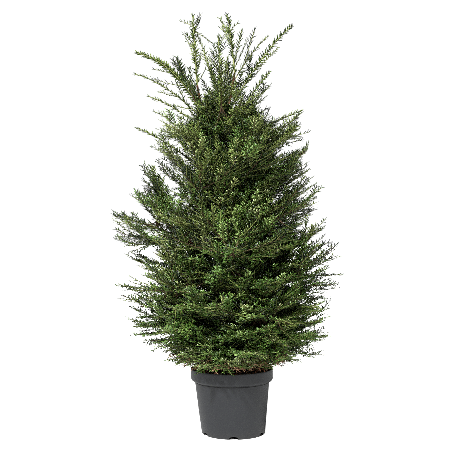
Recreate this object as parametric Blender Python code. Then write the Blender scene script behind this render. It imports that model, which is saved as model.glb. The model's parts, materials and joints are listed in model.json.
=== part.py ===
"""A conical yew, about 1.2 m tall, growing in a round ten-litre nursery pot.

Metres, +Z up. The origin is the centre of the pot's flat underside. +X is the right of the front view and -Y faces the
viewer. The plant is one trunk with two extra leaders, main boughs that carry the lower masses of foliage, and long
single shoots at the top. Every mass is a stem with toothed sprays of needles fused to it.
"""

import math
import random

import bmesh
import bpy
import numpy as np
from mathutils import Matrix, Vector
from mathutils.bvhtree import BVHTree

UP = Vector((0, 0, 1))
GAP = 0.0003  # clear space between two pieces that meet
SEED = 14

# The pot
RIM_RADIUS = 0.140
POT_HEIGHT = 0.220
RIM_HEIGHT = 0.043
SHOULDER = 0.011  # height of the sloping step under the rim
BODY_TOP_RADIUS = 0.1265
BASE_RADIUS = 0.1085
BASE_CHAMFER = 0.004
POT_WALL = 0.002
RIM_WALL = 0.003
DRAFT = 0.001  # how much narrower the rim is at its lower edge
LIP_ROUND = 0.0012
POT_LEAN = -0.006  # how far the soft rim has shifted to the left of the base
POT_SEGMENTS = 32
DRAINS = 6
DRAIN_WIDTH = 0.030
DRAIN_HEIGHT = 0.010
DRAIN_DEPTH = 0.020

# The compost, heaped a little round the trunk
COMPOST_LEVEL = 0.203
COMPOST_MOUND = 0.009
COMPOST_ROUGH = 0.0035
COMPOST_RINGS = 3
COMPOST_SEGMENTS = 20

# The trunk and its two extra leaders
TRUNK_FOOT_RADIUS = 0.021
TRUNK_RADIUS = 0.0135
TRUNK_TIP_RADIUS = 0.0055
ROOT_FLARE = 0.035  # height over which the foot widens
TRUNK_TOP = 1.120
TRUNK_LEAN = -0.034  # sideways shift at the top
TRUNK_SWAY = 0.008
TRUNK_STEPS = 14
TRUNK_SIDES = 10
LEADER_RADIUS = 0.0062
LEADER_TIP_RADIUS = 0.0034
HALVINGS = 30
LIMB_STEPS = 5
LIMB_SIDES = 8
BOUGH_STEPS = 3
BOUGH_SIDES = 6
STEM_STEPS = 5
STEM_END = 0.97  # of the way to the mass's tip, which its blade reaches

# The crown. Each row is a height, with the reach of the foliage there to the left and to the right.
CROWN = (
    (0.23, 0.210, 0.165),
    (0.30, 0.295, 0.300),
    (0.40, 0.370, 0.345),
    (0.50, 0.395, 0.345),
    (0.61, 0.390, 0.372),
    (0.67, 0.408, 0.335),
    (0.74, 0.400, 0.310),
    (0.86, 0.325, 0.270),
    (0.98, 0.290, 0.255),
    (1.08, 0.270, 0.220),
    (1.20, 0.200, 0.125),
)
GOLDEN_TURN = math.radians(137.508)

# The masses of the crown's body: how they climb, and how the boughs carry them
MASSES = 24
FIRST_AZIMUTH = math.radians(250)
LOWEST_SEAT = 0.262
HIGHEST_SEAT = 0.985
RISE_AT_FOOT = math.radians(-4)
RISE_AT_TOP = math.radians(43)
BOW_AT_FOOT = 0.07  # of a mass's length
BOW_AT_TOP = 0.02
TIP_VARIES = (0.93, 1.03)  # of the crown's reach
BOUGH_EVERY = 2  # every second mass of the body has a bough of its own
BOUGH_SHARE = 0.36  # of the way from the trunk to the mass's tip
BOUGH_RADIUS = 0.0056
STEM_RADIUS = 0.0032
STEM_TIP_RADIUS = 0.0014
SHOOT_RADIUS = 0.0024

# A spray is a blade with forward-pointing teeth, thickest along its rib
NOTCH_REACH = 0.011
BLADE_TAPER = 0.45  # of the rib's thickness that is left at the last tooth
SPRAY_SWELL = 0.6  # a blade's width at its root, 0 to 1
STEM_SWELL = 0.7
LAST_TOOTH = 0.93  # where the last tooth lies on the half wave that shapes a blade's width
TOOTH_LEAN = 0.90  # of a pitch
TOOTH_TRIES = 6
TOOTH_SHRINK = 0.72
RIB_THICKNESS = 0.0044
SPRAY_ARCH = 0.3
ROLL = 0.5  # how far a spray's flat side may be turned from level

# The sprays of a body mass, from its core to the crown's outside, and the blade at its tip
SPRAYS = 8
SPRAY_SPREAD = 0.140  # how far round the mass's tip the sprays' tips are spread
SPRAY_LENGTHS = (1.0, 0.8, 0.6)  # the spray is tried at each share of its length until it fits
SPRAY_LONGEST = 0.150
HIGHEST_SPRAY = 1.240
SPRAY_PITCH = 0.046
SPRAY_TEETH = (2, 3)  # least and most
SPRAY_REACH = 0.045
SPRAY_SUNK = 0.74  # of the way from the core's centre to its surface
TIP_FROM = 0.62  # of the stem
TIP_PITCH = 0.033
TIP_REACH = 0.030

# A long shoot is a blade along its stem, with side sprays near its foot
SHOOT_FROM = 0.20  # of the stem
SHOOT_PITCH = 0.034
SHOOT_REACH = 0.024
SHOOT_ROLL = (0.7, 1.1)  # how far its flat side is turned from level, either way
SIDE_SPRAYS = (0.30,)  # of the stem
SIDE_LENGTH = 0.085
SIDE_REACH = 0.026
SIDE_SUNK = 0.004
SIDE_ANGLE = math.radians(42)

# A core fills the inner part of a body mass
CORE_AT = 0.50  # of the guide
CORE_LENGTH = 0.28  # of the guide, half
CORE_WIDTH = 0.110
CORE_HEIGHT = 0.095
CORE_SHARE = 0.78  # of the crown's reach
CORE_VARIES = (0.86, 1.08)
CORE_LEAST = 0.1
CORE_ROUNDS = 24
CORE_SHRINK = 0.9

# The space that a mass keeps to
LINE_ROOM = 0.007  # between two stems
TURN_STEP = math.radians(7)
MOST_TURNS = 12
GUIDE_STEPS = 8
SPACE_MARGIN = 0.0035
LIMB_CLEARANCE = 0.004
POT_CLEARANCE = 0.010
SKIRT_DROP = 0.020  # how far foliage outside the rim may hang below it

# Leaders and long shoots that stand out of the cone. Each is seated on a limb at a height, and its tip lies at a
# distance to the right (x) and behind (y) of the pot's axis, at a height. Bow lifts the middle, as a share of length.
LEADERS = (
    ("leader_left", "trunk", 0.865, (-0.124, 0.012, 1.185), -0.10),
    ("leader_right", "trunk", 1.000, (0.004, -0.012, 1.225), -0.07),
)
LEADER_TIPS = (
    ("tip_left", "leader_left", (-0.140, 0.012, 1.424), 0.02),
    ("tip_middle", "trunk", (-0.052, 0.008, 1.352), 0.02),
    ("tip_right", "leader_right", (-0.018, -0.020, 1.410), 0.05),
)
LONG_SHOOTS = (
    ("shoot_left_high", "leader_left", 1.150, (-0.326, -0.030, 1.288), 0.09),
    ("shoot_left_middle", "leader_left", 1.060, (-0.344, 0.060, 1.234), 0.08),
    ("shoot_left_steep", "leader_left", 1.090, (-0.262, -0.090, 1.254), 0.10),
    ("shoot_left_low", "trunk", 0.960, (-0.284, -0.060, 1.136), 0.09),
    ("shoot_left_wide", "trunk", 0.820, (-0.336, 0.050, 1.044), 0.07),
    ("shoot_right_long", "leader_right", 1.085, (0.200, 0.030, 1.394), 0.07),
    ("shoot_right_high", "leader_right", 1.190, (0.116, 0.040, 1.357), 0.06),
    ("shoot_right_middle", "trunk", 0.955, (0.118, -0.080, 1.214), 0.08),
    ("shoot_right_wide", "trunk", 0.930, (0.232, 0.010, 1.098), 0.06),
    ("shoot_middle_left", "trunk", 1.085, (-0.126, 0.050, 1.366), 0.08),
    ("shoot_front", "trunk", 1.050, (-0.020, -0.190, 1.240), 0.08),
    ("shoot_back", "trunk", 1.040, (-0.050, 0.200, 1.250), 0.08),
)


def clear_scene():
    for obj in list(bpy.data.objects):
        bpy.data.objects.remove(obj)


def material(name, colour, roughness, metallic=0.0):
    found = bpy.data.materials.new(name)
    found.use_nodes = True
    shader = found.node_tree.nodes["Principled BSDF"]
    shader.inputs["Base Color"].default_value = (*colour, 1)
    shader.inputs["Roughness"].default_value = roughness
    shader.inputs["Metallic"].default_value = metallic
    return found


def object_from(name, bm, finish):
    mesh = bpy.data.meshes.new(name)
    bm.to_mesh(mesh)
    bm.free()
    mesh.materials.append(finish)
    obj = bpy.data.objects.new(name, mesh)
    bpy.context.collection.objects.link(obj)
    return obj


def apply_modifiers(obj):
    graph = bpy.context.evaluated_depsgraph_get()
    mesh = bpy.data.meshes.new_from_object(obj.evaluated_get(graph))
    obj.modifiers.clear()
    obj.data = mesh


def mix(a, b, share):
    return a + (b - a) * share


def face_out(bm):
    bmesh.ops.recalc_face_normals(bm, faces=bm.faces)
    if bm.calc_volume(signed=True) < 0:
        bmesh.ops.reverse_faces(bm, faces=bm.faces)


class Limb:
    """A round limb along a curve, which narrows from its seat to its tip."""

    def __init__(self, name, path, radii, seat=None, sides=LIMB_SIDES):
        self.name = name
        self.path = path
        self.radii = radii
        self.seat = seat
        self.sides = sides

    def at_height(self, height):
        """(point on the axis, direction of the axis, radius) where the limb reaches that height."""
        last = len(self.path) - 1
        for i in range(last):
            low, high = self.path[i].z, self.path[i + 1].z
            if height <= high or i == last - 1:
                share = min(max((height - low) / (high - low), 0), 1)
                point = self.path[i].lerp(self.path[i + 1], share)
                along = (self.path[i + 1] - self.path[i]).normalized()
                return point, along, mix(self.radii[i], self.radii[i + 1], share)

    def end(self):
        return self.path[-1], (self.path[-1] - self.path[-2]).normalized()

    def clearance(self, point):
        return min(
            distance_to_line(point, a, b) - max(ra, rb)
            for a, b, ra, rb in zip(self.path, self.path[1:], self.radii, self.radii[1:])
        )


def distance_to_line(point, a, b):
    along = b - a
    share = min(max((point - a).dot(along) / along.length_squared, 0), 1)
    return (point - a - along * share).length


def arc(start, tip, bow, steps, first=0.0, last=1.0):
    """Points on a bowed curve from start to tip, between two shares of its length."""
    middle = (start + tip) / 2 + UP * bow * 2 * (tip - start).length
    points = []
    for i in range(steps + 1):
        t = mix(first, last, i / steps)
        points.append(start * (1 - t) ** 2 + middle * 2 * t * (1 - t) + tip * t**2)
    return points


def frames(path, sideways):
    """(tangent, side, up) at each point, with the side kept as near to sideways as the tangent allows."""
    found = []
    for i in range(len(path)):
        tangent = (path[min(i + 1, len(path) - 1)] - path[max(i - 1, 0)]).normalized()
        side = (sideways - tangent * sideways.dot(tangent)).normalized()
        found.append((tangent, side, tangent.cross(side)))
    return found


def sideways_of(direction):
    """A level direction at right angles to a limb that heads that way."""
    level = Vector((direction.x, direction.y, 0))
    return UP.cross(level).normalized() if level.length > 1e-6 else Vector((0, 1, 0))


def tube(path, radii, sides, seat=None):
    """A closed tube along the path. With a seat (point, normal), its first ring lies in that plane."""
    bm = bmesh.new()
    rings = []
    placed = frames(path, sideways_of(path[-1] - path[0]))
    for i, (tangent, side, up) in enumerate(placed):
        ring = []
        for k in range(sides):
            angle = math.tau * k / sides
            point = path[i] + (side * math.cos(angle) + up * math.sin(angle)) * radii[i]
            if i == 0 and seat:
                point += tangent * ((seat[0] - point).dot(seat[1]) / tangent.dot(seat[1]))
            ring.append(bm.verts.new(point))
        rings.append(ring)
    for low, high in zip(rings, rings[1:]):
        for k in range(sides):
            j = (k + 1) % sides
            bm.faces.new((low[k], low[j], high[j], high[k]))
    bm.faces.new(list(reversed(rings[0])))
    bm.faces.new(rings[-1])
    face_out(bm)
    return bm


def seat_on(limb, height, tip):
    """Where a limb that heads for the tip meets another limb's side: (start on the axis, seat point, seat normal)."""
    axis, along, radius = limb.at_height(height)
    outward = tip - axis
    outward = (outward - along * outward.dot(along)).normalized()
    return axis, axis + outward * (radius + GAP), outward


# Pot and compost


def turned(profile, segments, lean):
    """A solid of revolution with a closed profile from axis to axis, sheared sideways by lean over its height."""
    bm = bmesh.new()
    rings = []
    for radius, z in profile:
        shift = lean * z / POT_HEIGHT
        if radius == 0:
            rings.append([bm.verts.new((shift, 0, z))])
            continue
        ring = []
        for k in range(segments):
            angle = math.tau * k / segments
            ring.append(bm.verts.new((shift + radius * math.cos(angle), radius * math.sin(angle), z)))
        rings.append(ring)
    for low, high in zip(rings, rings[1:]):
        for k in range(segments):
            j = (k + 1) % segments
            corners = [low[k % len(low)], low[j % len(low)], high[j % len(high)], high[k % len(high)]]
            bm.faces.new(list(dict.fromkeys(corners)))
    face_out(bm)
    return bm


def pot_profile():
    """Outside from the underside's centre up to the rim, then inside down to the floor's centre."""
    shoulder_low = POT_HEIGHT - RIM_HEIGHT
    shoulder_high = shoulder_low + SHOULDER
    in_rim = RIM_RADIUS - RIM_WALL - DRAFT
    return (
        (0, 0),
        (BASE_RADIUS - BASE_CHAMFER, 0),
        (BASE_RADIUS, BASE_CHAMFER),
        (BODY_TOP_RADIUS, shoulder_low),
        (mix(BODY_TOP_RADIUS, RIM_RADIUS, 0.72), shoulder_low + SHOULDER * 0.35),
        (RIM_RADIUS - DRAFT, shoulder_high),
        (RIM_RADIUS, POT_HEIGHT - LIP_ROUND),
        (RIM_RADIUS - LIP_ROUND, POT_HEIGHT),
        (RIM_RADIUS - RIM_WALL, POT_HEIGHT - LIP_ROUND / 2),
        (in_rim, shoulder_high),
        (BODY_TOP_RADIUS - POT_WALL, shoulder_low),
        (BASE_RADIUS - POT_WALL, BASE_CHAMFER + POT_WALL),
        (BASE_RADIUS - POT_WALL - BASE_CHAMFER, POT_WALL),
        (0, POT_WALL),
    )


def drain_cutter(index):
    """An arched block across the corner between wall and floor, its outline in shares of the drain's size."""
    bm = bmesh.new()
    half = [(0.5, -0.3), (0.5, 0.45), (0.36, 0.85), (0.18, 1.0)]
    arch = half + [(-across, up) for across, up in reversed(half)]
    near, far = BASE_RADIUS - DRAIN_DEPTH, BASE_RADIUS + DRAIN_DEPTH
    rings = [[bm.verts.new((x, w * DRAIN_WIDTH, h * DRAIN_HEIGHT)) for w, h in arch] for x in (near, far)]
    for k in range(len(arch)):
        j = (k + 1) % len(arch)
        bm.faces.new((rings[0][k], rings[0][j], rings[1][j], rings[1][k]))
    bm.faces.new(list(reversed(rings[0])))
    bm.faces.new(rings[1])
    face_out(bm)
    turn = -math.pi / 2 + math.tau * index / DRAINS
    bmesh.ops.rotate(bm, verts=bm.verts, cent=(0, 0, 0), matrix=Matrix.Rotation(turn, 3, "Z"))
    return bm


def build_pot(finish):
    pot = object_from("pot", turned(pot_profile(), POT_SEGMENTS, POT_LEAN), finish)
    cutters = bpy.data.collections.new("drain_cutters")
    bpy.context.scene.collection.children.link(cutters)
    for index in range(DRAINS):
        cutter = object_from(f"drain_cutter_{index}", drain_cutter(index), finish)
        bpy.context.collection.objects.unlink(cutter)
        cutters.objects.link(cutter)
    cut = pot.modifiers.new("drains", "BOOLEAN")
    cut.operation = "DIFFERENCE"
    cut.operand_type = "COLLECTION"
    cut.collection = cutters
    cut.solver = "EXACT"
    apply_modifiers(pot)
    for cutter in list(cutters.objects):
        bpy.data.objects.remove(cutter)
    bpy.data.collections.remove(cutters)
    pot.data.shade_smooth()
    pot.data.set_sharp_from_angle(angle=math.radians(30))
    return pot


def inner_radius(z):
    """The radius of the pot's inside at a height, across its flats and less the gap."""
    shoulder_low = POT_HEIGHT - RIM_HEIGHT
    in_rim = RIM_RADIUS - RIM_WALL - DRAFT
    if z > shoulder_low:
        found = mix(BODY_TOP_RADIUS - POT_WALL, in_rim, min((z - shoulder_low) / SHOULDER, 1))
    else:
        share = (z - BASE_CHAMFER - POT_WALL) / (shoulder_low - BASE_CHAMFER - POT_WALL)
        found = mix(BASE_RADIUS, BODY_TOP_RADIUS, share) - POT_WALL
    return found * math.cos(math.pi / POT_SEGMENTS) - GAP


def build_compost(finish):
    """The filling: a turned plug, flat where the trunk stands and uneven round it."""
    shoulder_low = POT_HEIGHT - RIM_HEIGHT
    floor = POT_WALL + GAP
    corner = BASE_CHAMFER + POT_WALL + GAP
    foot = TRUNK_FOOT_RADIUS * 1.3
    edge = inner_radius(COMPOST_LEVEL) - 2 * GAP
    profile = [
        (0, floor),
        (inner_radius(corner) - BASE_CHAMFER, floor),
        (inner_radius(corner), corner),
        (inner_radius(shoulder_low), shoulder_low),
        (edge, shoulder_low + SHOULDER + 2 * GAP),
        (edge, COMPOST_LEVEL),
    ]
    for k in range(1, COMPOST_RINGS + 1):
        share = k / (COMPOST_RINGS + 1)
        profile.append((mix(edge, foot, share), COMPOST_LEVEL + COMPOST_MOUND * math.sin(share * math.pi / 2)))
    top = COMPOST_LEVEL + COMPOST_MOUND
    profile += [(foot, top), (0, top)]
    bm = turned(profile, COMPOST_SEGMENTS, POT_LEAN)
    rng = random.Random(SEED)
    for vert in bm.verts:
        from_axis = math.hypot(vert.co.x - POT_LEAN, vert.co.y)
        if vert.co.z > COMPOST_LEVEL - GAP and foot * 1.1 < from_axis < edge * 0.93:
            vert.co.z += rng.uniform(-COMPOST_ROUGH, COMPOST_ROUGH)
    return object_from("compost", bm, finish)


# Trunk, leaders and boughs


def trunk_point(z):
    share = (z - COMPOST_LEVEL) / (TRUNK_TOP - COMPOST_LEVEL)
    sway = TRUNK_SWAY * math.sin(share * math.tau)
    return Vector((POT_LEAN + TRUNK_LEAN * share + sway, sway * 0.7, z))


def make_trunk():
    """The trunk's foot is a flat cut on the compost, flared like the root collar."""
    foot = COMPOST_LEVEL + COMPOST_MOUND + GAP
    heights = [foot, foot + ROOT_FLARE * 0.3, foot + ROOT_FLARE]
    steps = TRUNK_STEPS - 2
    heights += [mix(foot + ROOT_FLARE, TRUNK_TOP, (i + 1) / steps) for i in range(steps)]
    radii = [TRUNK_FOOT_RADIUS, TRUNK_FOOT_RADIUS * 0.78]
    for z in heights[2:]:
        radii.append(mix(TRUNK_RADIUS, TRUNK_TIP_RADIUS, (z - foot) / (TRUNK_TOP - foot)))
    path = [trunk_point(z) for z in heights]
    path[0] = Vector((path[1].x, path[1].y, foot))
    return Limb("trunk", path, radii, sides=TRUNK_SIDES)


def make_leaders(limbs):
    for name, carrier, height, tip, bow in LEADERS:
        tip = Vector(tip)
        start, seat, outward = seat_on(limbs[carrier], height, tip)
        first = first_share(start, tip, bow, seat, outward)
        path = arc(start, tip, bow, LIMB_STEPS, first)
        radii = [mix(LEADER_RADIUS, LEADER_TIP_RADIUS, i / LIMB_STEPS) for i in range(LIMB_STEPS + 1)]
        limbs[name] = Limb(name, path, radii, (seat, outward))


def first_share(start, tip, bow, seat, outward):
    """The share of a bowed line at which it has passed through its seat's plane, found by halving."""
    low, high = 0.0, 0.6
    for _ in range(HALVINGS):
        share = (low + high) / 2
        if (arc(start, tip, bow, 1, share, share)[0] - seat).dot(outward) < 0:
            low = share
        else:
            high = share
    return high


def reach_at(z, azimuth):
    """The crown's reach at a height, blended from the left and right outlines by direction."""
    z = min(max(z, CROWN[0][0]), CROWN[-1][0])
    for (low, left_low, right_low), (high, left_high, right_high) in zip(CROWN, CROWN[1:]):
        if z <= high:
            share = (z - low) / (high - low)
            left, right = mix(left_low, left_high, share), mix(right_low, right_high, share)
            return mix(left, right, (1 + math.cos(azimuth)) / 2)


def body_row(i, turn):
    """(seat height on the trunk, tip, bow) of a mass of the crown's body, turned aside by an angle."""
    share = i / (MASSES - 1)
    seat = mix(LOWEST_SEAT, HIGHEST_SEAT, share)
    azimuth = FIRST_AZIMUTH + i * GOLDEN_TURN + turn
    rise = mix(RISE_AT_FOOT, RISE_AT_TOP, share**0.7)
    tip_z = seat + reach_at(seat, azimuth) * math.tan(rise)
    level = reach_at(tip_z, azimuth) * random.Random(SEED + i).uniform(*TIP_VARIES)
    tip = Vector((level * math.cos(azimuth), level * math.sin(azimuth), tip_z))
    return seat, tip, mix(BOW_AT_FOOT, BOW_AT_TOP, share)


# Foliage


class Mass:
    """A stem and the space round it. The guide is the whole line from its seat, which other masses keep away from."""

    def __init__(self, name, carrier, guide, stem, radii, seat, own_limb=None, core=False):
        self.name = name
        self.carrier = carrier
        self.guide = guide
        self.stem = stem
        self.radii = radii
        self.seat = seat
        self.own_limb = own_limb
        self.core = core

    def line(self):
        """The guide from where the mass or its bough first leaves its carrier."""
        first = self.own_limb.path[0] if self.own_limb else self.stem[0]
        return [first] + self.guide[1:]


def split_at_bough(name, number, seat_height, tip, bow, limbs):
    """A body mass with a bough of its own: the bough runs to its share of the way and the stem goes on from there."""
    start, seat, outward = seat_on(limbs["trunk"], seat_height, tip)
    path = arc(start, tip, bow, BOUGH_STEPS, first_share(start, tip, bow, seat, outward), BOUGH_SHARE)
    radii = [mix(BOUGH_RADIUS, STEM_RADIUS * 1.15, i / BOUGH_STEPS) for i in range(BOUGH_STEPS + 1)]
    bough = Limb(f"bough_{number:02d}", path, radii, (seat, outward), BOUGH_SIDES)
    stem = arc(start, tip, bow, STEM_STEPS, BOUGH_SHARE, STEM_END)
    end, along = bough.end()
    stem[0] = end + along * GAP
    guide = arc(start, tip, bow, GUIDE_STEPS)
    return Mass(name, "trunk", guide, stem, stem_radii(STEM_RADIUS), (stem[0], along), bough, core=True)


def stem_radii(thick):
    return [mix(thick, STEM_TIP_RADIUS, i / STEM_STEPS) for i in range(STEM_STEPS + 1)]


def seated_mass(name, carrier, height, tip, bow, radius, core):
    """A mass whose stem is seated on the side of a limb."""
    start, seat, outward = seat_on(carrier, height, tip)
    stem = arc(start, tip, bow, STEM_STEPS, first_share(start, tip, bow, seat, outward), STEM_END)
    guide = arc(start, tip, bow, GUIDE_STEPS)
    return Mass(name, carrier.name, guide, stem, stem_radii(radius), (seat, outward), core=core)


def tip_mass(name, carrier, tip, bow):
    """A leader's top, which goes straight on from the limb's end."""
    end, along = carrier.end()
    start = end + along * GAP
    tip = Vector(tip)
    stem = arc(start, tip, bow, STEM_STEPS, 0, STEM_END)
    guide = arc(start, tip, bow, GUIDE_STEPS)
    return Mass(name, carrier.name, guide, stem, stem_radii(LEADER_TIP_RADIUS), (start, along))


def line_gap(a, b, c, d):
    """The least distance between two short lines, near enough, from points along the first."""
    return min(distance_to_line(a.lerp(b, k / 4), c, d) for k in range(5))


def is_free(mass, masses, limbs):
    """Whether a mass's line keeps clear of the other masses' lines and of every limb but the one that carries it."""
    line = mass.line()
    for start, end in zip(line, line[1:]):
        for other in masses:
            if any(line_gap(start, end, a, b) < LINE_ROOM for a, b in zip(other.line(), other.line()[1:])):
                return False
        for limb in limbs.values():
            if limb.name != mass.carrier and limb is not mass.own_limb:
                if min(limb.clearance(start.lerp(end, k / 4)) for k in range(5)) < LINE_ROOM:
                    return False
    return True


def body_mass(i, masses, limbs):
    """The i-th mass of the crown's body, turned aside as little as will keep it clear of what is there already."""
    for step in range(2 * MOST_TURNS + 1):
        turn = TURN_STEP * ((step + 1) // 2) * (1 if step % 2 else -1)
        seat, tip, bow = body_row(i, turn)
        name = f"foliage_{i + 1:02d}"
        if i % BOUGH_EVERY == 0:
            mass = split_at_bough(name, i // BOUGH_EVERY + 1, seat, tip, bow, limbs)
        else:
            mass = seated_mass(name, limbs["trunk"], seat, tip, bow, STEM_RADIUS, core=True)
        if is_free(mass, masses, limbs):
            return mass
    raise ValueError(f"no room for {name}")


def make_masses(limbs):
    masses = []
    for name, carrier, tip, bow in LEADER_TIPS:
        masses.append(tip_mass(name, limbs[carrier], tip, bow))
    for name, carrier, height, tip, bow in LONG_SHOOTS:
        masses.append(seated_mass(name, limbs[carrier], height, Vector(tip), bow, SHOOT_RADIUS, core=False))
    for i in range(MASSES):
        masses.append(body_mass(i, masses, limbs))
        if masses[-1].own_limb:
            limbs[masses[-1].own_limb.name] = masses[-1].own_limb
    return masses


class Room:
    """Every guide line and every limb, as arrays, to test points against."""

    def __init__(self, masses, limbs):
        rows = [(a, b, n) for n, mass in enumerate(masses) for a, b in zip(mass.guide, mass.guide[1:])]
        self.guides = np.array([row[:2] for row in rows])
        self.owners = np.array([row[2] for row in rows])
        rows = [row for limb in limbs.values() for row in zip(limb.path, limb.path[1:], limb.radii)]
        self.limbs = np.array([row[:2] for row in rows])
        self.radii = np.array([row[2] for row in rows])
        self.walls = []
        for limb in limbs.values():
            wide = tube(limb.path, [radius + LIMB_CLEARANCE / 2 for radius in limb.radii], LIMB_SIDES)
            self.walls.append(BVHTree.FromBMesh(wide))
            wide.free()

    def fits(self, points, number):
        """Whether the points keep to a mass's own space, clear of the pot and of every limb."""
        points = np.array(points)
        if not all(clear_of_pot(point) for point in points):
            return False
        if (gaps_to_lines(points, self.limbs) - self.radii).min() < LIMB_CLEARANCE:
            return False
        gaps = gaps_to_lines(points, self.guides)
        own = gaps[:, self.owners == number].min(axis=1)
        others = gaps[:, self.owners != number].min(axis=1)
        return (others - own).min() > SPACE_MARGIN

    def faces_in_limbs(self, bm):
        tree = BVHTree.FromBMesh(bm)
        bm.faces.ensure_lookup_table()
        return [bm.faces[own] for wall in self.walls for own, _ in tree.overlap(wall)]


def gaps_to_lines(points, lines):
    """The distance of every point from every short line."""
    start, along = lines[:, 0], lines[:, 1] - lines[:, 0]
    share = np.einsum("psk,sk->ps", points[:, None] - start, along) / (along**2).sum(axis=1)
    nearest = start + np.clip(share, 0, 1)[..., None] * along
    return np.linalg.norm(points[:, None] - nearest, axis=2)


def clear_of_pot(point):
    if math.hypot(point[0] - POT_LEAN, point[1]) > RIM_RADIUS + POT_CLEARANCE:
        return point[2] > POT_HEIGHT - SKIRT_DROP
    return point[2] > POT_HEIGHT + POT_CLEARANCE


def blade_outline(rib, side, reach, swell, held):
    """Notch and tooth points, left and right, of a blade along the rib, each tooth drawn in until it is held."""
    notches, tips = [], []
    for k in range(len(rib) - 1):
        share = k / (len(rib) - 1)
        tooth = rib[k].lerp(rib[k + 1], TOOTH_LEAN)
        notches.append([])
        tips.append([])
        for sign in (1, -1):
            width = reach * math.sin(math.pi * mix(swell / 2, LAST_TOOTH, share)) ** 0.8
            for _ in range(TOOTH_TRIES):
                tip = tooth + side * sign * width
                notch = rib[k] + side * sign * min(NOTCH_REACH, width / 2)
                if held([tip, notch, (tip + rib[k]) / 2, (tip + rib[k + 1]) / 2, (tip + notch) / 2]):
                    break
                width *= TOOTH_SHRINK
            notches[-1].append(notch)
            tips[-1].append(tip)
    return notches, tips


def blade_mesh(rib, notches, tips, face, thickness):
    """A closed toothed blade, thickest along the rib and sharp at its outline."""
    bm = bmesh.new()
    teeth = len(tips)
    end = bm.verts.new(rib[-1])
    outline = [([bm.verts.new(p) for p in notches[k]], [bm.verts.new(p) for p in tips[k]]) for k in range(teeth)]
    spines = []
    for sign in (1, -1):
        half = face * sign * thickness / 2
        spine = [bm.verts.new(rib[k] + half * mix(1, BLADE_TAPER, k / teeth)) for k in range(teeth)] + [end]
        spines.append(spine)
        for side in (0, 1):
            for k in range(teeth):
                notch, tip = outline[k][0][side], outline[k][1][side]
                bm.faces.new((spine[k], notch, tip))
                bm.faces.new((spine[k], tip, spine[k + 1]))
                if k + 1 < teeth:
                    bm.faces.new((spine[k + 1], tip, outline[k + 1][0][side]))
    for side in (0, 1):
        bm.faces.new((spines[0][0], spines[1][0], outline[0][0][side]))
    face_out(bm)
    return bm


def try_spray(root, tip, roll, reach, number, room):
    """A spray from the root towards its tip, as long as fits, or None."""
    direction = (tip - root).normalized()
    side = sideways_of(direction)
    side.rotate(Matrix.Rotation(roll, 3, direction))
    for share in SPRAY_LENGTHS:
        length = min((tip - root).length, SPRAY_LONGEST) * share
        teeth = min(max(round(length / SPRAY_PITCH), SPRAY_TEETH[0]), SPRAY_TEETH[1])
        rib = []
        for k in range(teeth + 1):
            along = k / teeth
            rib.append(root + direction * length * along + UP * SPRAY_ARCH * length * along * (1 - along))
        if room.fits(rib[1:], number):
            notches, tips = blade_outline(rib, side, reach, SPRAY_SWELL, lambda spots: room.fits(spots, number))
            blade = blade_mesh(rib, notches, tips, direction.cross(side).normalized(), RIB_THICKNESS)
            if not room.faces_in_limbs(blade):
                return blade
    return None


def stem_blade(mass, first, pitch, reach, roll, number, room):
    """A blade along the stem itself, from a share of it to the guide's end."""
    line = mass.stem[:-1] + [mass.guide[-1]]
    lengths = [0.0]
    for a, b in zip(line, line[1:]):
        lengths.append(lengths[-1] + (b - a).length)
    teeth = max(2, round(lengths[-1] * (1 - first) / pitch))
    rib = [along_line(line, lengths, mix(first, 1, k / teeth)) for k in range(teeth + 1)]
    direction = (rib[-1] - rib[0]).normalized()
    side = sideways_of(direction)
    side.rotate(Matrix.Rotation(roll, 3, direction))
    notches, tips = blade_outline(rib, side, reach, STEM_SWELL, lambda spots: room.fits(spots, number))
    thickness = max(RIB_THICKNESS, 2.2 * mass.radii[int(first * STEM_STEPS)])
    return blade_mesh(rib, notches, tips, direction.cross(side).normalized(), thickness)


def along_line(line, lengths, share):
    wanted = share * lengths[-1]
    for k in range(1, len(line)):
        if wanted <= lengths[k] or k == len(line) - 1:
            return line[k - 1].lerp(line[k], (wanted - lengths[k - 1]) / (lengths[k] - lengths[k - 1]))


def inside_crown(point):
    azimuth = math.atan2(point.y, point.x)
    return math.hypot(point.x, point.y) < CORE_SHARE * reach_at(point.z, azimuth)


def core_mesh(mass, number, room, rng):
    """A lump round the middle of the stem, drawn in wherever it would leave the mass's space. Also its centre."""
    bm = bmesh.new()
    bmesh.ops.create_icosphere(bm, subdivisions=2, radius=1)
    spot = CORE_AT * (len(mass.guide) - 1)
    centre = mass.guide[int(spot)].lerp(mass.guide[int(spot) + 1], spot % 1)
    line = mass.guide[-1] - mass.guide[0]
    along = line.normalized()
    side = sideways_of(along)
    up = along.cross(side)

    def held(point):
        return inside_crown(point) and room.fits([point], number)

    for vert in bm.verts:
        u = vert.co.copy()
        shape = along * u.x * line.length * CORE_LENGTH + side * u.y * CORE_WIDTH + up * u.z * CORE_HEIGHT
        scale = rng.uniform(*CORE_VARIES)
        while scale > CORE_LEAST and not held(centre + shape * scale):
            scale *= CORE_SHRINK
        vert.co = centre + shape * scale
    for _ in range(CORE_ROUNDS):
        outside = set()
        for part in list(bm.edges) + list(bm.faces):
            corners = [vert.co for vert in part.verts]
            middle = sum(corners, Vector()) / len(corners)
            if not all(held(middle.lerp(corner, share)) for corner in corners for share in (0, 0.5)):
                outside.update(part.verts)
        for face in room.faces_in_limbs(bm):
            outside.update(face.verts)
        for vert in outside:
            vert.co = centre.lerp(vert.co, CORE_SHRINK)
        if not outside:
            break
    face_out(bm)
    return bm, centre


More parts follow.
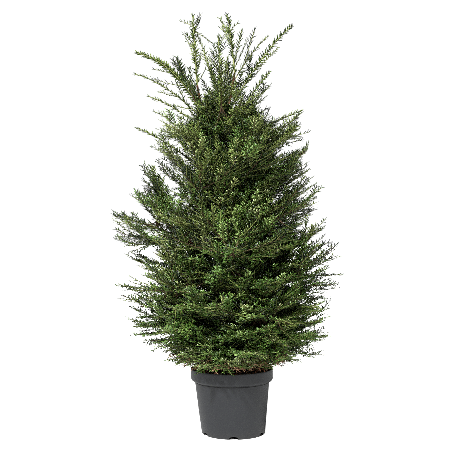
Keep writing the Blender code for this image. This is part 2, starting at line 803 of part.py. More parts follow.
def body_pieces(mass, number, room, rng):
    core, centre = core_mesh(mass, number, room, rng)
    blade = stem_blade(mass, TIP_FROM, TIP_PITCH, TIP_REACH, rng.uniform(-ROLL, ROLL), number, room)
    pieces = [core, blade]
    tip = mass.guide[-1]
    azimuth, level = math.atan2(tip.y, tip.x), math.hypot(tip.x, tip.y)
    arms = [vert.co - centre for vert in core.verts]
    for k in range(SPRAYS):
        away = SPRAY_SPREAD * math.sqrt((k + 0.8) / SPRAYS)
        turn = (k + number) * GOLDEN_TURN
        z = min(tip.z + away * math.sin(turn), HIGHEST_SPRAY)
        around = azimuth + away * math.cos(turn) / level
        reach = reach_at(z, around) * rng.uniform(*TIP_VARIES)
        target = Vector((reach * math.cos(around), reach * math.sin(around), z))
        aim = (target - centre).normalized()
        arm = max(arms, key=lambda arm: arm.normalized().dot(aim))
        arms.remove(arm)
        root = centre + arm * SPRAY_SUNK
        spray = try_spray(root, target, rng.uniform(-ROLL, ROLL), SPRAY_REACH, number, room)
        if spray:
            pieces.append(spray)
    return pieces


def shoot_pieces(mass, number, room, rng):
    roll = rng.choice((-1, 1)) * rng.uniform(*SHOOT_ROLL)
    pieces = [stem_blade(mass, SHOOT_FROM, SHOOT_PITCH, SHOOT_REACH, roll, number, room)]
    for k, share in enumerate(SIDE_SPRAYS):
        spot = share * (len(mass.stem) - 1)
        i = int(spot)
        tangent = (mass.stem[i + 1] - mass.stem[i]).normalized()
        side = sideways_of(tangent) * (1 if (k + number) % 2 else -1)
        direction = (tangent * math.cos(SIDE_ANGLE) + side * math.sin(SIDE_ANGLE)).normalized()
        root = mass.stem[i].lerp(mass.stem[i + 1], spot - i) - direction * SIDE_SUNK
        spray = try_spray(root, root + direction * SIDE_LENGTH, rng.uniform(-ROLL, ROLL), SIDE_REACH, number, room)
        if spray:
            pieces.append(spray)
    return pieces


def mass_pieces(mass, number, room):
    """The meshes that make up one mass: its stem first, then what grows on it."""
    rng = random.Random(SEED * 100 + number)
    used = max(2, math.ceil((TIP_FROM if mass.core else SHOOT_FROM) * (len(mass.stem) - 1)) + 1)
    stem = tube(mass.stem[:used], mass.radii[:used], 4, mass.seat)
    grown = body_pieces if mass.core else shoot_pieces
    return [stem] + grown(mass, number, room, rng)


def fuse(name, pieces, finish):
    """Joins the pieces into one closed body."""
    base = object_from(name, pieces[0], finish)
    others = bpy.data.collections.new(name + "_parts")
    bpy.context.scene.collection.children.link(others)
    for k, piece in enumerate(pieces[1:]):
        obj = object_from(f"{name}_part_{k}", piece, finish)
        bpy.context.collection.objects.unlink(obj)
        others.objects.link(obj)
    join = base.modifiers.new("fuse", "BOOLEAN")
    join.operation = "UNION"
    join.operand_type = "COLLECTION"
    join.collection = others
    join.solver = "EXACT"
    apply_modifiers(base)
    for obj in list(others.objects):
        bpy.data.objects.remove(obj)
    bpy.data.collections.remove(others)
    return base


def main():
    clear_scene()
    plastic = material("grey pot plastic", (0.075, 0.078, 0.083), 0.5)
    earth = material("bark compost", (0.11, 0.055, 0.03), 0.95)
    bark = material("yew bark", (0.16, 0.075, 0.045), 0.85)
    needles = material("yew needles", (0.045, 0.085, 0.02), 0.6)
    build_pot(plastic)
    build_compost(earth)
    limbs = {"trunk": make_trunk()}
    make_leaders(limbs)
    masses = make_masses(limbs)
    for limb in limbs.values():
        object_from(limb.name, tube(limb.path, limb.radii, limb.sides, limb.seat), bark)
    room = Room(masses, limbs)
    for number, mass in enumerate(masses):
        fuse(mass.name, mass_pieces(mass, number, room), needles)


main()
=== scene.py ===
import json
import math
import random

import bmesh
import bpy
import numpy as np
from mathutils import Matrix, Vector, noise

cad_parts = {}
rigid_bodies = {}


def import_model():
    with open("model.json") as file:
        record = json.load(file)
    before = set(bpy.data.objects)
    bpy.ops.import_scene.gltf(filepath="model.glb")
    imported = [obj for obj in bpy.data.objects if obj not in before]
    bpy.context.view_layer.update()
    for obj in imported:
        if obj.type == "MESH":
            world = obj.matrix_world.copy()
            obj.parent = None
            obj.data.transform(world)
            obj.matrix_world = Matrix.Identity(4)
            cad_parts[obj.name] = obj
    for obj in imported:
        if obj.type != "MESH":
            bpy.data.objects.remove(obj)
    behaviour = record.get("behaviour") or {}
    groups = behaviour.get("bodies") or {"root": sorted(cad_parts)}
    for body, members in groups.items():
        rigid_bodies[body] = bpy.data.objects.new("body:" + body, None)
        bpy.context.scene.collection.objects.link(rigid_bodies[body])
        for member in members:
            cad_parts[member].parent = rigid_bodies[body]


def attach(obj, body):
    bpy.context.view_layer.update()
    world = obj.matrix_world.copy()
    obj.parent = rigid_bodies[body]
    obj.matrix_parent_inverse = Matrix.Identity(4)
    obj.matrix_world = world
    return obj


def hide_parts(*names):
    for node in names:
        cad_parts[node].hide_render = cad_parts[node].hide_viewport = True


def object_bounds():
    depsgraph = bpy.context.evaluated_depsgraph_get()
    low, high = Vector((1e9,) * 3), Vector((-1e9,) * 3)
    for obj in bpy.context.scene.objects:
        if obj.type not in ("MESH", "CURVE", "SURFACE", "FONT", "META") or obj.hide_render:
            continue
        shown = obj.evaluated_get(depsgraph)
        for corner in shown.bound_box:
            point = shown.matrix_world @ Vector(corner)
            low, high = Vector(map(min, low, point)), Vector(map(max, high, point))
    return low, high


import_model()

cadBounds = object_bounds()

# A conical yew in a round nursery pot. Metres, +Z up, the pot's underside centred on the origin.

up = Vector((0, 0, 1))
goldenTurn = math.radians(137.508)


def mix(a, b, share):
    return a + (b - a) * share


def linear(code):  # sRGB hex to the linear colour that a shader takes
    parts = [int(code[k:k + 2], 16) / 255 for k in (1, 3, 5)]
    return tuple(c / 12.92 if c <= 0.04045 else ((c + 0.055) / 1.055) ** 2.4 for c in parts) + (1.0,)


def node(tree, kind, settings=None, **sockets):
    made = tree.nodes.new(kind)
    for key, value in (settings or {}).items():
        setattr(made, key, value)
    for key, value in sockets.items():
        socket = made.inputs[int(key[1:])] if key[1:].isdigit() else made.inputs[key.replace("_", " ")]
        if isinstance(value, bpy.types.NodeSocket):
            tree.links.new(value, socket)
        else:
            socket.default_value = value
    return made


def openTree(name, sizes):  # a geometry tree with a named input for every size
    tree = bpy.data.node_groups.new(name, "GeometryNodeTree")
    tree.interface.new_socket(name="Geometry", in_out="OUTPUT", socket_type="NodeSocketGeometry")
    kinds = {"Geometry": "Geometry", "Finish": "Material", "Seed": "Int", "Part": "Object"}
    for key in ("Geometry", "Finish") + tuple(sizes):
        tree.interface.new_socket(name=key, in_out="INPUT", socket_type="NodeSocket" + kinds.get(key, "Float"))
    return tree, node(tree, "NodeGroupInput").outputs


def closeTree(tree, geometry, finish):
    whole = node(tree, "GeometryNodeRealizeInstances", Geometry=geometry)
    dressed = node(tree, "GeometryNodeSetMaterial", Geometry=whole.outputs[0], Material=finish)
    node(tree, "NodeGroupOutput", Geometry=dressed.outputs[0])


def placed(name, mesh):
    piece = bpy.data.objects.new(name, mesh)
    bpy.context.scene.collection.objects.link(piece)
    return piece


def grown(piece, tree, finish, sizes):  # runs the tree on the piece and keeps the plain mesh
    modifier = piece.modifiers.new("growth", "NODES")
    modifier.node_group = tree
    values = dict(sizes, Finish=finish)
    for item in tree.interface.items_tree:
        if item.item_type == "SOCKET" and item.in_out == "INPUT" and item.name in values:
            modifier[item.identifier] = values[item.name]
    graph = bpy.context.evaluated_depsgraph_get()
    mesh = bpy.data.meshes.new_from_object(piece.evaluated_get(graph))
    piece.modifiers.clear()
    piece.data = mesh
    return piece


def fromRings(name, rings, finish, closed=True):  # skins a row of vertex rings
    sheet = bmesh.new()
    made = [[sheet.verts.new(point) for point in ring] for ring in rings]
    for low, high in zip(made, made[1:]):
        for k in range(max(len(low), len(high))):
            j = k + 1
            corners = (low[k % len(low)], low[j % len(low)], high[j % len(high)], high[k % len(high)])
            sheet.faces.new(list(dict.fromkeys(corners)))
    bmesh.ops.recalc_face_normals(sheet, faces=sheet.faces)
    if closed and sheet.calc_volume(signed=True) < 0:
        bmesh.ops.reverse_faces(sheet, faces=sheet.faces)
    mesh = bpy.data.meshes.new(name)
    sheet.to_mesh(mesh)
    sheet.free()
    mesh.materials.append(finish)
    return placed(name, mesh)


def newMaterial(name):
    made = bpy.data.materials.new(name)
    made.use_nodes = True
    tree = made.node_tree
    return made, tree, tree.nodes["Principled BSDF"]


# Camera, floor and light

cameraView = {"place": (-0.022, -2.855, 0.700), "lens": 66.3, "sensor": 36.0}
studio = {"sky": "#FFFFFF", "seenSky": 1.05, "skyLight": 0.05, "floor": "#FBFBFA", "floorGlow": 0.95, "floorSize": 60.0,
          "potShadow": 0.108}
lamps = {  # direction that the light comes from, strength, and how wide the soft light looks, in degrees
    "keyLight": {"from": (-0.42, -0.95, 0.98), "strength": 6.1, "wide": 5},
    "fillLight": {"from": (0.95, -1.0, 0.35), "strength": 0.45, "wide": 30},
    "backLight": {"from": (-0.30, 1.0, 0.75), "strength": 0.5, "wide": 60},
}


def setCamera():
    data = bpy.data.cameras.new("frontCamera")
    data.sensor_width = cameraView["sensor"]
    data.lens = cameraView["lens"]
    camera = bpy.data.objects.new("frontCamera", data)
    camera.location = cameraView["place"]
    camera.rotation_euler = (math.pi / 2, 0, 0)
    bpy.context.scene.collection.objects.link(camera)
    bpy.context.scene.camera = camera


def setStudio():
    scene = bpy.context.scene
    scene.view_settings.view_transform = "Standard"
    scene.cycles.use_denoising = False  # a denoiser smears needles that are thinner than a pixel
    scene.cycles.filter_width = 0.7
    world = bpy.data.worlds.new("studioSky")
    world.use_nodes = True
    sky = world.node_tree.nodes["Background"]
    sky.inputs["Color"].default_value = linear(studio["sky"])
    # the backdrop is seen white, and lights the plant less than that
    ray = node(world.node_tree, "ShaderNodeLightPath")
    strength = node(world.node_tree, "ShaderNodeMapRange", Value=ray.outputs["Is Camera Ray"], _3=studio["skyLight"], _4=studio["seenSky"])
    world.node_tree.links.new(strength.outputs[0], sky.inputs["Strength"])
    scene.world = world
    for name, lamp in lamps.items():
        data = bpy.data.lights.new(name, "SUN")
        data.energy = lamp["strength"]
        data.angle = math.radians(lamp["wide"])
        light = bpy.data.objects.new(name, data)
        light.location = Vector(lamp["from"]) * 3
        light.rotation_euler = Vector(lamp["from"]).to_track_quat("Z", "Y").to_euler()
        scene.collection.objects.link(light)
    paper, tree, shader = newMaterial("matt white backdrop paper")
    shader.inputs["Base Color"].default_value = linear(studio["floor"])
    shader.inputs["Emission Color"].default_value = linear(studio["floor"])
    # the paper is overexposed to the eye, and throws back no more light than paper does
    sight = node(tree, "ShaderNodeLightPath")
    glow = node(tree, "ShaderNodeMath", {"operation": "MULTIPLY"}, _0=sight.outputs["Is Camera Ray"], _1=studio["floorGlow"])
    # in the shadow under the pot there is no glow
    where = node(tree, "ShaderNodeTexCoord")
    away = node(tree, "ShaderNodeVectorMath", {"operation": "LENGTH"}, _0=where.outputs["Object"])
    beside = node(tree, "ShaderNodeMapRange", Value=away.outputs["Value"], _1=studio["potShadow"] - 0.002, _2=studio["potShadow"])
    glow = node(tree, "ShaderNodeMath", {"operation": "MULTIPLY"}, _0=glow.outputs[0], _1=beside.outputs[0])
    tree.links.new(glow.outputs[0], shader.inputs["Emission Strength"])
    shader.inputs["Roughness"].default_value = 0.9
    half = studio["floorSize"] / 2
    mesh = bpy.data.meshes.new("floor")
    mesh.from_pydata([(-half, -half, 0), (half, -half, 0), (half, half, 0), (-half, half, 0)], [], [(0, 1, 2, 3)])
    mesh.materials.append(paper)
    placed("floor", mesh)


setCamera()
setStudio()
print("camera, floor and light are set")

# The skeleton: the same trunk, leaders, boughs and guide lines as the solids, from the same sizes and seeds

potSizes = {
    "rimRadius": 0.140, "height": 0.220, "rimHeight": 0.043, "shoulder": 0.011, "bodyTop": 0.1265,
    "base": 0.1085, "baseRound": 0.004, "wall": 0.002, "rimWall": 0.003, "draft": 0.001, "lipRound": 0.0012,
    "lean": -0.006, "segments": 216, "bodySteps": 20, "groove": 0.0011,
    "drains": 6, "drainWidth": 0.030, "drainHeight": 0.010, "drainDepth": 0.020,
}
trunkSizes = {
    "foot": 0.2123, "footRadius": 0.021, "radius": 0.0135, "tipRadius": 0.0055, "flare": 0.035,
    "top": 1.120, "lean": -0.034, "sway": 0.008, "steps": 14,
    "soil": 0.203, "leaderRadius": 0.0062, "leaderTip": 0.0034, "gap": 0.0003,
}
crownReach = (  # height, reach to the left, reach to the right
    (0.23, 0.210, 0.165), (0.30, 0.295, 0.300), (0.40, 0.370, 0.345), (0.50, 0.395, 0.345), (0.61, 0.390, 0.372),
    (0.67, 0.408, 0.335), (0.74, 0.400, 0.310), (0.86, 0.325, 0.270), (0.98, 0.290, 0.255), (1.08, 0.270, 0.220),
    (1.20, 0.200, 0.125),
)
bodySizes = {
    "masses": 24, "seed": 14, "firstAzimuth": math.radians(250), "lowSeat": 0.262, "highSeat": 0.985,
    "footRise": math.radians(-4), "topRise": math.radians(43), "footBow": 0.07, "topBow": 0.02,
    "tipVaries": (0.93, 1.03), "boughEvery": 2, "boughShare": 0.36, "boughRadius": 0.0056,
    "stemRadius": 0.0032, "stemTip": 0.0014, "shootRadius": 0.0024,
    "lineRoom": 0.007, "turnStep": math.radians(7), "mostTurns": 12,
}
leaders = (
    ("leader_left", "trunk", 0.865, (-0.124, 0.012, 1.185), -0.10),
    ("leader_right", "trunk", 1.000, (0.004, -0.012, 1.225), -0.07),
)
leaderTips = (
    ("tip_left", "leader_left", (-0.140, 0.012, 1.424), 0.02),
    ("tip_middle", "trunk", (-0.052, 0.008, 1.352), 0.02),
    ("tip_right", "leader_right", (-0.018, -0.020, 1.410), 0.05),
)
longShoots = (
    ("shoot_left_high", "leader_left", 1.150, (-0.326, -0.030, 1.288), 0.09),
    ("shoot_left_middle", "leader_left", 1.060, (-0.344, 0.060, 1.234), 0.08),
    ("shoot_left_steep", "leader_left", 1.090, (-0.262, -0.090, 1.254), 0.10),
    ("shoot_left_low", "trunk", 0.960, (-0.284, -0.060, 1.136), 0.09),
    ("shoot_left_wide", "trunk", 0.820, (-0.336, 0.050, 1.044), 0.07),
    ("shoot_right_long", "leader_right", 1.085, (0.200, 0.030, 1.394), 0.07),
    ("shoot_right_high", "leader_right", 1.190, (0.116, 0.040, 1.357), 0.06),
    ("shoot_right_middle", "trunk", 0.955, (0.118, -0.080, 1.214), 0.08),
    ("shoot_right_wide", "trunk", 0.930, (0.232, 0.010, 1.098), 0.06),
    ("shoot_middle_left", "trunk", 1.085, (-0.126, 0.050, 1.366), 0.08),
    ("shoot_front", "trunk", 1.050, (-0.020, -0.190, 1.240), 0.08),
    ("shoot_back", "trunk", 1.040, (-0.050, 0.200, 1.250), 0.08),
)


def bend(start, middle, tip, steps, first=0.0, last=1.0):  # points on a curve that heads for middle, then for tip
    points = []
    for i in range(steps + 1):
        t = mix(first, last, i / steps)
        points.append(start * (1 - t) ** 2 + middle * 2 * t * (1 - t) + tip * t ** 2)
    return points


def arc(start, tip, bow, steps, first=0.0, last=1.0):
    middle = (start + tip) / 2 + up * bow * 2 * (tip - start).length
    return bend(start, middle, tip, steps, first, last)


def trunkPoint(z):
    share = (z - trunkSizes["soil"]) / (trunkSizes["top"] - trunkSizes["soil"])
    sway = trunkSizes["sway"] * math.sin(share * math.tau)
    return Vector((potSizes["lean"] + trunkSizes["lean"] * share + sway, sway * 0.7, z))


def atHeight(limb, height):
    path, radii = limb["path"], limb["radii"]
    last = len(path) - 1
    for i in range(last):
        low, high = path[i].z, path[i + 1].z
        if height <= high or i == last - 1:
            share = min(max((height - low) / (high - low), 0), 1)
            along = (path[i + 1] - path[i]).normalized()
            return path[i].lerp(path[i + 1], share), along, mix(radii[i], radii[i + 1], share)


def seatOn(limb, height, tip):
    axis, along, radius = atHeight(limb, height)
    outward = tip - axis
    outward = (outward - along * outward.dot(along)).normalized()
    return axis, axis + outward * (radius + trunkSizes["gap"]), outward


def firstShare(start, tip, bow, seat, outward):
    low, high = 0.0, 0.6
    for halving in range(30):
        share = (low + high) / 2
        if (arc(start, tip, bow, 1, share, share)[0] - seat).dot(outward) < 0:
            low = share
        else:
            high = share
    return high


def makeTrunk():
    foot, flare, top = trunkSizes["foot"], trunkSizes["flare"], trunkSizes["top"]
    heights = [foot, foot + flare * 0.3, foot + flare]
    steps = trunkSizes["steps"] - 2
    heights += [mix(foot + flare, top, (i + 1) / steps) for i in range(steps)]
    radii = [trunkSizes["footRadius"], trunkSizes["footRadius"] * 0.78]
    for z in heights[2:]:
        radii.append(mix(trunkSizes["radius"], trunkSizes["tipRadius"], (z - foot) / (top - foot)))
    path = [trunkPoint(z) for z in heights]
    path[0] = Vector((path[1].x, path[1].y, foot))
    return {"name": "trunk", "path": path, "radii": radii}


def makeLeader(limbs, name, carrier, height, tip, bow):
    tip = Vector(tip)
    start, seat, outward = seatOn(limbs[carrier], height, tip)
    path = arc(start, tip, bow, 5, firstShare(start, tip, bow, seat, outward))
    radii = [mix(trunkSizes["leaderRadius"], trunkSizes["leaderTip"], i / 5) for i in range(6)]
    return {"name": name, "path": path, "radii": radii}


def reachAt(z, azimuth):
    z = min(max(z, crownReach[0][0]), crownReach[-1][0])
    for (low, leftLow, rightLow), (high, leftHigh, rightHigh) in zip(crownReach, crownReach[1:]):
        if z <= high:
            share = (z - low) / (high - low)
            left, right = mix(leftLow, leftHigh, share), mix(rightLow, rightHigh, share)
            return mix(left, right, (1 + math.cos(azimuth)) / 2)


def bodyRow(i, turn):
    share = i / (bodySizes["masses"] - 1)
    seat = mix(bodySizes["lowSeat"], bodySizes["highSeat"], share)
    azimuth = bodySizes["firstAzimuth"] + i * goldenTurn + turn
    rise = mix(bodySizes["footRise"], bodySizes["topRise"], share ** 0.7)
    tipZ = seat + reachAt(seat, azimuth) * math.tan(rise)
    level = reachAt(tipZ, azimuth) * random.Random(bodySizes["seed"] + i).uniform(*bodySizes["tipVaries"])
    tip = Vector((level * math.cos(azimuth), level * math.sin(azimuth), tipZ))
    return seat, tip, mix(bodySizes["footBow"], bodySizes["topBow"], share)


def lineDistance(point, a, b):
    along = b - a
    share = min(max((point - a).dot(along) / along.length_squared, 0), 1)
    return (point - a - along * share).length


def isFree(mass, masses, limbs):
    room = bodySizes["lineRoom"]
    for start, end in zip(mass["line"], mass["line"][1:]):
        spots = [start.lerp(end, k / 4) for k in range(5)]
        for other in masses:
            for a, b in zip(other["line"], other["line"][1:]):
                if min(lineDistance(spot, a, b) for spot in spots) < room:
                    return False
        for limb in limbs.values():
            if limb["name"] != mass["carrier"] and limb is not mass["ownLimb"]:
                path, radii = limb["path"], limb["radii"]
                for a, b, ra, rb in zip(path, path[1:], radii, radii[1:]):
                    if min(lineDistance(spot, a, b) for spot in spots) - max(ra, rb) < room:
                        return False
    return True


def seatedMass(name, carrier, height, tip, bow, radius, bough=0):
    start, seat, outward = seatOn(carrier, height, tip)
    first = firstShare(start, tip, bow, seat, outward)
    guide = arc(start, tip, bow, 8)
    ownLimb = None
    if bough:
        path = arc(start, tip, bow, 3, first, bodySizes["boughShare"])
        radii = [mix(bodySizes["boughRadius"], bodySizes["stemRadius"] * 1.15, i / 3) for i in range(4)]
        ownLimb = {"name": "bough_%02d" % bough, "path": path, "radii": radii}
        stemFrom = bodySizes["boughShare"]
    else:
        stemFrom = first
    line = [arc(start, tip, bow, 1, first, first)[0]] + guide[1:]
    return {
        "name": name, "carrier": carrier["name"], "guide": guide, "line": line, "ownLimb": ownLimb,
        "start": start, "tip": tip, "bow": bow, "stemFrom": stemFrom, "radius": radius,
    }


def makeMasses(limbs):
    masses = []
    for name, carrier, tip, bow in leaderTips:
        path = limbs[carrier]["path"]
        start = path[-1] + (path[-1] - path[-2]).normalized() * trunkSizes["gap"]
        guide = arc(start, Vector(tip), bow, 8)
        masses.append({
            "name": name, "carrier": carrier, "guide": guide, "line": guide, "ownLimb": None, "start": start,
            "tip": Vector(tip), "bow": bow, "stemFrom": 0.0, "radius": trunkSizes["leaderTip"],
        })
    for name, carrier, height, tip, bow in longShoots:
        masses.append(seatedMass(name, limbs[carrier], height, Vector(tip), bow, bodySizes["shootRadius"]))
    for i in range(bodySizes["masses"]):
        bough = i // bodySizes["boughEvery"] + 1 if i % bodySizes["boughEvery"] == 0 else 0
        for step in range(2 * bodySizes["mostTurns"] + 1):
            turn = bodySizes["turnStep"] * ((step + 1) // 2) * (1 if step % 2 else -1)
            seat, tip, bow = bodyRow(i, turn)
            name = "foliage_%02d" % (i + 1)
            mass = seatedMass(name, limbs["trunk"], seat, tip, bow, bodySizes["stemRadius"], bough)
            if isFree(mass, masses, limbs):
                break
        masses.append(mass)
        if mass["ownLimb"]:
            limbs[mass["ownLimb"]["name"]] = mass["ownLimb"]
    return masses


limbs = {"trunk": makeTrunk()}
for row in leaders:
    limbs[row[0]] = makeLeader(limbs, *row)
masses = makeMasses(limbs)
print("skeleton:", len(limbs), "limbs,", len(masses), "masses")

# Growth: branches, twigs and leafy shoots on the skeleton

growth = {
    "branches": 17, "spread": 0.165, "highest": 1.110, "lowest": 0.236, "fillers": 610, "lowBias": 2.1,
    "innerEvery": 3, "innerReach": (0.40, 0.80),
    "tipVaries": (0.80, 1.04), "standOut": 0.22, "needleRoom": 0.008, "tipRoom": 0.014, "rootInner": 0.22, "rootOuter": 0.86, "rootAway": 0.18,
    "branchRadius": 0.0022, "branchTip": 0.0010, "leafyFrom": 0.30,
    "twigEvery": 0.0160, "twigFrom": 0.16, "twigTo": 0.84, "twigAngle": (30, 50), "twigLongest": 0.092,
    "twigShortest": 0.038, "twigRadius": 0.0013, "twigTip": 0.0008, "twigRoll": 0.22, "twigLift": 0.10,
    "sprayTurn": 0.25, "twigTurn": 0.30,
    "greenBelow": 0.78, "dryBelow": 0.300,
}
denseReach = (  # height, how far the dense part of the crown reaches to the left and to the right
    (0.24, 0.170, 0.145), (0.30, 0.225, 0.285), (0.40, 0.272, 0.295), (0.50, 0.300, 0.283), (0.60, 0.290, 0.270),
    (0.70, 0.282, 0.238), (0.80, 0.216, 0.184), (0.86, 0.150, 0.170), (0.91, 0.116, 0.178), (0.96, 0.150, 0.160),
    (1.01, 0.175, 0.148), (1.06, 0.128, 0.112), (1.11, 0.085, 0.070), (1.17, 0.060, 0.050), (1.22, 0.040, 0.030),
)
riseRows = ((0.23, -16), (0.32, 3), (0.42, 16), (0.55, 27), (0.75, 35), (0.95, 41), (1.10, 50), (1.25, 58))
outlineTips = {  # height and distance from the pot's axis of single shoots that stand out at the sides
    "left": ((0.989, 0.261), (0.903, 0.261), (0.883, 0.317), (0.856, 0.290), (0.836, 0.308), (0.818, 0.317), (0.790, 0.305), (0.736, 0.396), (0.665, 0.405),
             (0.600, 0.372), (0.504, 0.391), (0.463, 0.399), (0.417, 0.360), (0.376, 0.342), (0.342, 0.337),
             (0.307, 0.296), (0.271, 0.250), (0.236, 0.202)),
    "right": ((1.058, 0.229), (0.976, 0.269), (0.912, 0.236), (0.878, 0.234), (0.848, 0.267), (0.793, 0.254),
              (0.760, 0.299), (0.693, 0.309), (0.640, 0.318), (0.601, 0.366), (0.560, 0.325), (0.519, 0.316),
              (0.463, 0.323), (0.422, 0.344), (0.370, 0.318), (0.330, 0.328), (0.279, 0.295), (0.263, 0.208)),
}
greener = {"deep": "moss", "leaf": "grass", "bright": "lime"}  # low on the plant the green is less yellow
topSprigs = (  # the small side shoots at the leaders' tips
    ((-0.139, 0.012, 1.386), (-0.179, 0.006, 1.403)), ((-0.137, 0.012, 1.372), (-0.074, 0.020, 1.332)),
    ((-0.014, -0.018, 1.362), (0.016, -0.024, 1.390)), ((-0.013, -0.017, 1.346), (-0.046, -0.014, 1.376)),
)
shoots = []  # every leafy shoot
twigs = []  # every woody line


def denseAt(z, azimuth):
    heights = [row[0] for row in denseReach]
    left = float(np.interp(z, heights, [row[1] for row in denseReach]))
    right = float(np.interp(z, heights, [row[2] for row in denseReach]))
    return mix(left, right, (1 + math.cos(azimuth)) / 2)


def tipReach(z, azimuth, dice):  # most tips end at the dense part's edge, and a few stand out to the crown's outline
    dense = denseAt(z, azimuth) - growth["needleRoom"]
    if dice.random() < growth["standOut"]:
        return mix(dense, reachAt(z, azimuth), dice.uniform(0.3, 0.95))
    return dense * dice.uniform(*growth["tipVaries"])


def levelSide(direction):
    flat = Vector((direction.x, direction.y, 0))
    return up.cross(flat).normalized() if flat.length > 1e-6 else Vector((0, 1, 0))


def riseAt(z):
    heights = [row[0] for row in riseRows]
    return math.radians(float(np.interp(z, heights, [row[1] for row in riseRows])))


def clearOfPot(point):
    # tips hang below the rim only beside the pot, where they don't lie against it
    beside = abs(point.x - potSizes["lean"]) > potSizes["rimRadius"] + 0.034
    return point.z > potSizes["height"] + (-0.018 if beside else 0.014)


def insideCrown(point):  # within the solids' box, so that only the needles stand a little out of it
    return Vector((min(max(point.x, cadBounds[0][0]), cadBounds[1][0]), min(max(point.y, cadBounds[0][1]), cadBounds[1][1]), point.z))


def toneAt(spot, dice, lift=0.0):
    depth = math.hypot(spot.x, spot.y) / denseAt(spot.z, math.atan2(spot.y, spot.x))
    patch = noise.noise(spot * 9.0 + Vector((3.1, 0, 7.7)))
    # painted shade: needles deep inside the dense crown get darker tones, and those at its surface get lighter ones
    score = patch * 0.5 + dice.uniform(-0.5, 0.5) + min((depth - 0.92) * 2.2, 0.12) + lift
    score -= min(max(depth - 1.03, 0) * 2.0, 0.45) if spot.z < 0.95 else 0  # tips that stand out are darker
    # painted shade: the top of the crown gets darker tones, where the key light falls fullest
    score -= max(spot.z - 0.85, 0) * 1.1
    # painted light: the lowest shoots get lighter tones, where the key light reaches them less
    score += max(0.44 - spot.z, 0) * 2.6
    withered = min((growth["dryBelow"] - spot.z) / 0.07, 1.0) * (0.75 if math.hypot(spot.x, spot.y) < 0.20 else 0.15)
    if dice.random() < withered:
        return "dry"
    hue = noise.noise(spot * 8.0 + Vector((0, 5.3, 1.9))) * 1.1 + (growth["greenBelow"] - spot.z) * 1.2 + dice.uniform(-0.4, 0.4)
    for name, limit in (("shade", -0.34), ("deep", 0.02), ("leaf", 0.36), ("bright", 0.67), ("fresh", 0.98)):
        if score < limit:
            return greener.get(name, name) if hue > 0 else name
    return "young"


def addShoot(start, middle, tip, side, radii, tone, wood, leafyFrom=0.0, vigour=1.0, spin=0.0, steps=5):
    twigs.append({"points": bend(start, middle, tip, steps), "radii": radii, "wood": wood})
    if leafyFrom < 1:
        shoots.append({
            "points": bend(start, middle, tip, steps, leafyFrom, 1.0), "side": side, "tone": tone,
            "vigour": vigour, "spin": spin, "from": leafyFrom,
        })


def addTwigs(start, middle, tip, side, dice, every, longest, shortest, first, lift=0.0, spin=0.0, last=0.97):
    length = (middle - start).length + (tip - middle).length
    count = max(2, int(length * (last - first) / every))
    for k in range(count):
        t = mix(first, last, (k + dice.uniform(0.2, 0.8)) / count)
        root, ahead = bend(start, middle, tip, 1, t, min(t + 0.02, 1.0))
        if t > 0.99:
            continue
        along = (ahead - root).normalized()
        roll = k * goldenTurn * spin + dice.gauss(0, growth["twigRoll"]) + (math.pi if k % 2 else 0)
        across = Matrix.Rotation(roll, 3, along) @ side
        angle = math.radians(dice.uniform(*growth["twigAngle"]))
        heading = (along * math.cos(angle) + across * math.sin(angle)).normalized()
        size = mix(longest, shortest, ((t - first) / (1 - first)) ** 1.2) * dice.uniform(0.65, 1.15)
        end = root + heading * size + (along * 0.22 + up * growth["twigLift"] * dice.uniform(0.2, 1.2)) * size
        if not (clearOfPot(end) and clearOfPot(root)):
            continue
        end = insideCrown(end)
        bendAt = root + heading * size * 0.5
        tone = toneAt(end, dice, lift)
        twigSide = levelSide(end - root)
        twigSide.rotate(Matrix.Rotation(dice.uniform(-1, 1) * growth["twigTurn"], 3, (end - root).normalized()))
        addShoot(root, bendAt, end, twigSide, (growth["twigRadius"], growth["twigTip"]), tone, "olive", 0.06, dice.uniform(0.86, 1.06), steps=3)


def addBranch(root, target, around, dice, lift=0.0, every=None):
    rise = riseAt(target.z) + math.radians(dice.gauss(0, 11))
    yaw = around + dice.gauss(0, 0.22)
    heading = Vector((math.cos(yaw) * math.cos(rise), math.sin(yaw) * math.cos(rise), math.sin(rise)))
    target = insideCrown(target)
    length = (target - root).length
    middle = target - heading * length * 0.48
    if not (clearOfPot(middle) and clearOfPot(target)):
        return
    side = levelSide(heading)
    side.rotate(Matrix.Rotation(dice.uniform(-1, 1) * growth["sprayTurn"], 3, heading))
    tone = toneAt(target, dice, lift + 0.14)
    radii = (growth["branchRadius"], growth["branchTip"])
    addShoot(root, middle, target, side, radii, tone, "brown", growth["leafyFrom"], dice.uniform(0.92, 1.06), steps=8)
    addTwigs(root, middle, target, side, dice, every or growth["twigEvery"], growth["twigLongest"],
             growth["twigShortest"], growth["twigFrom"], lift, last=growth["twigTo"])


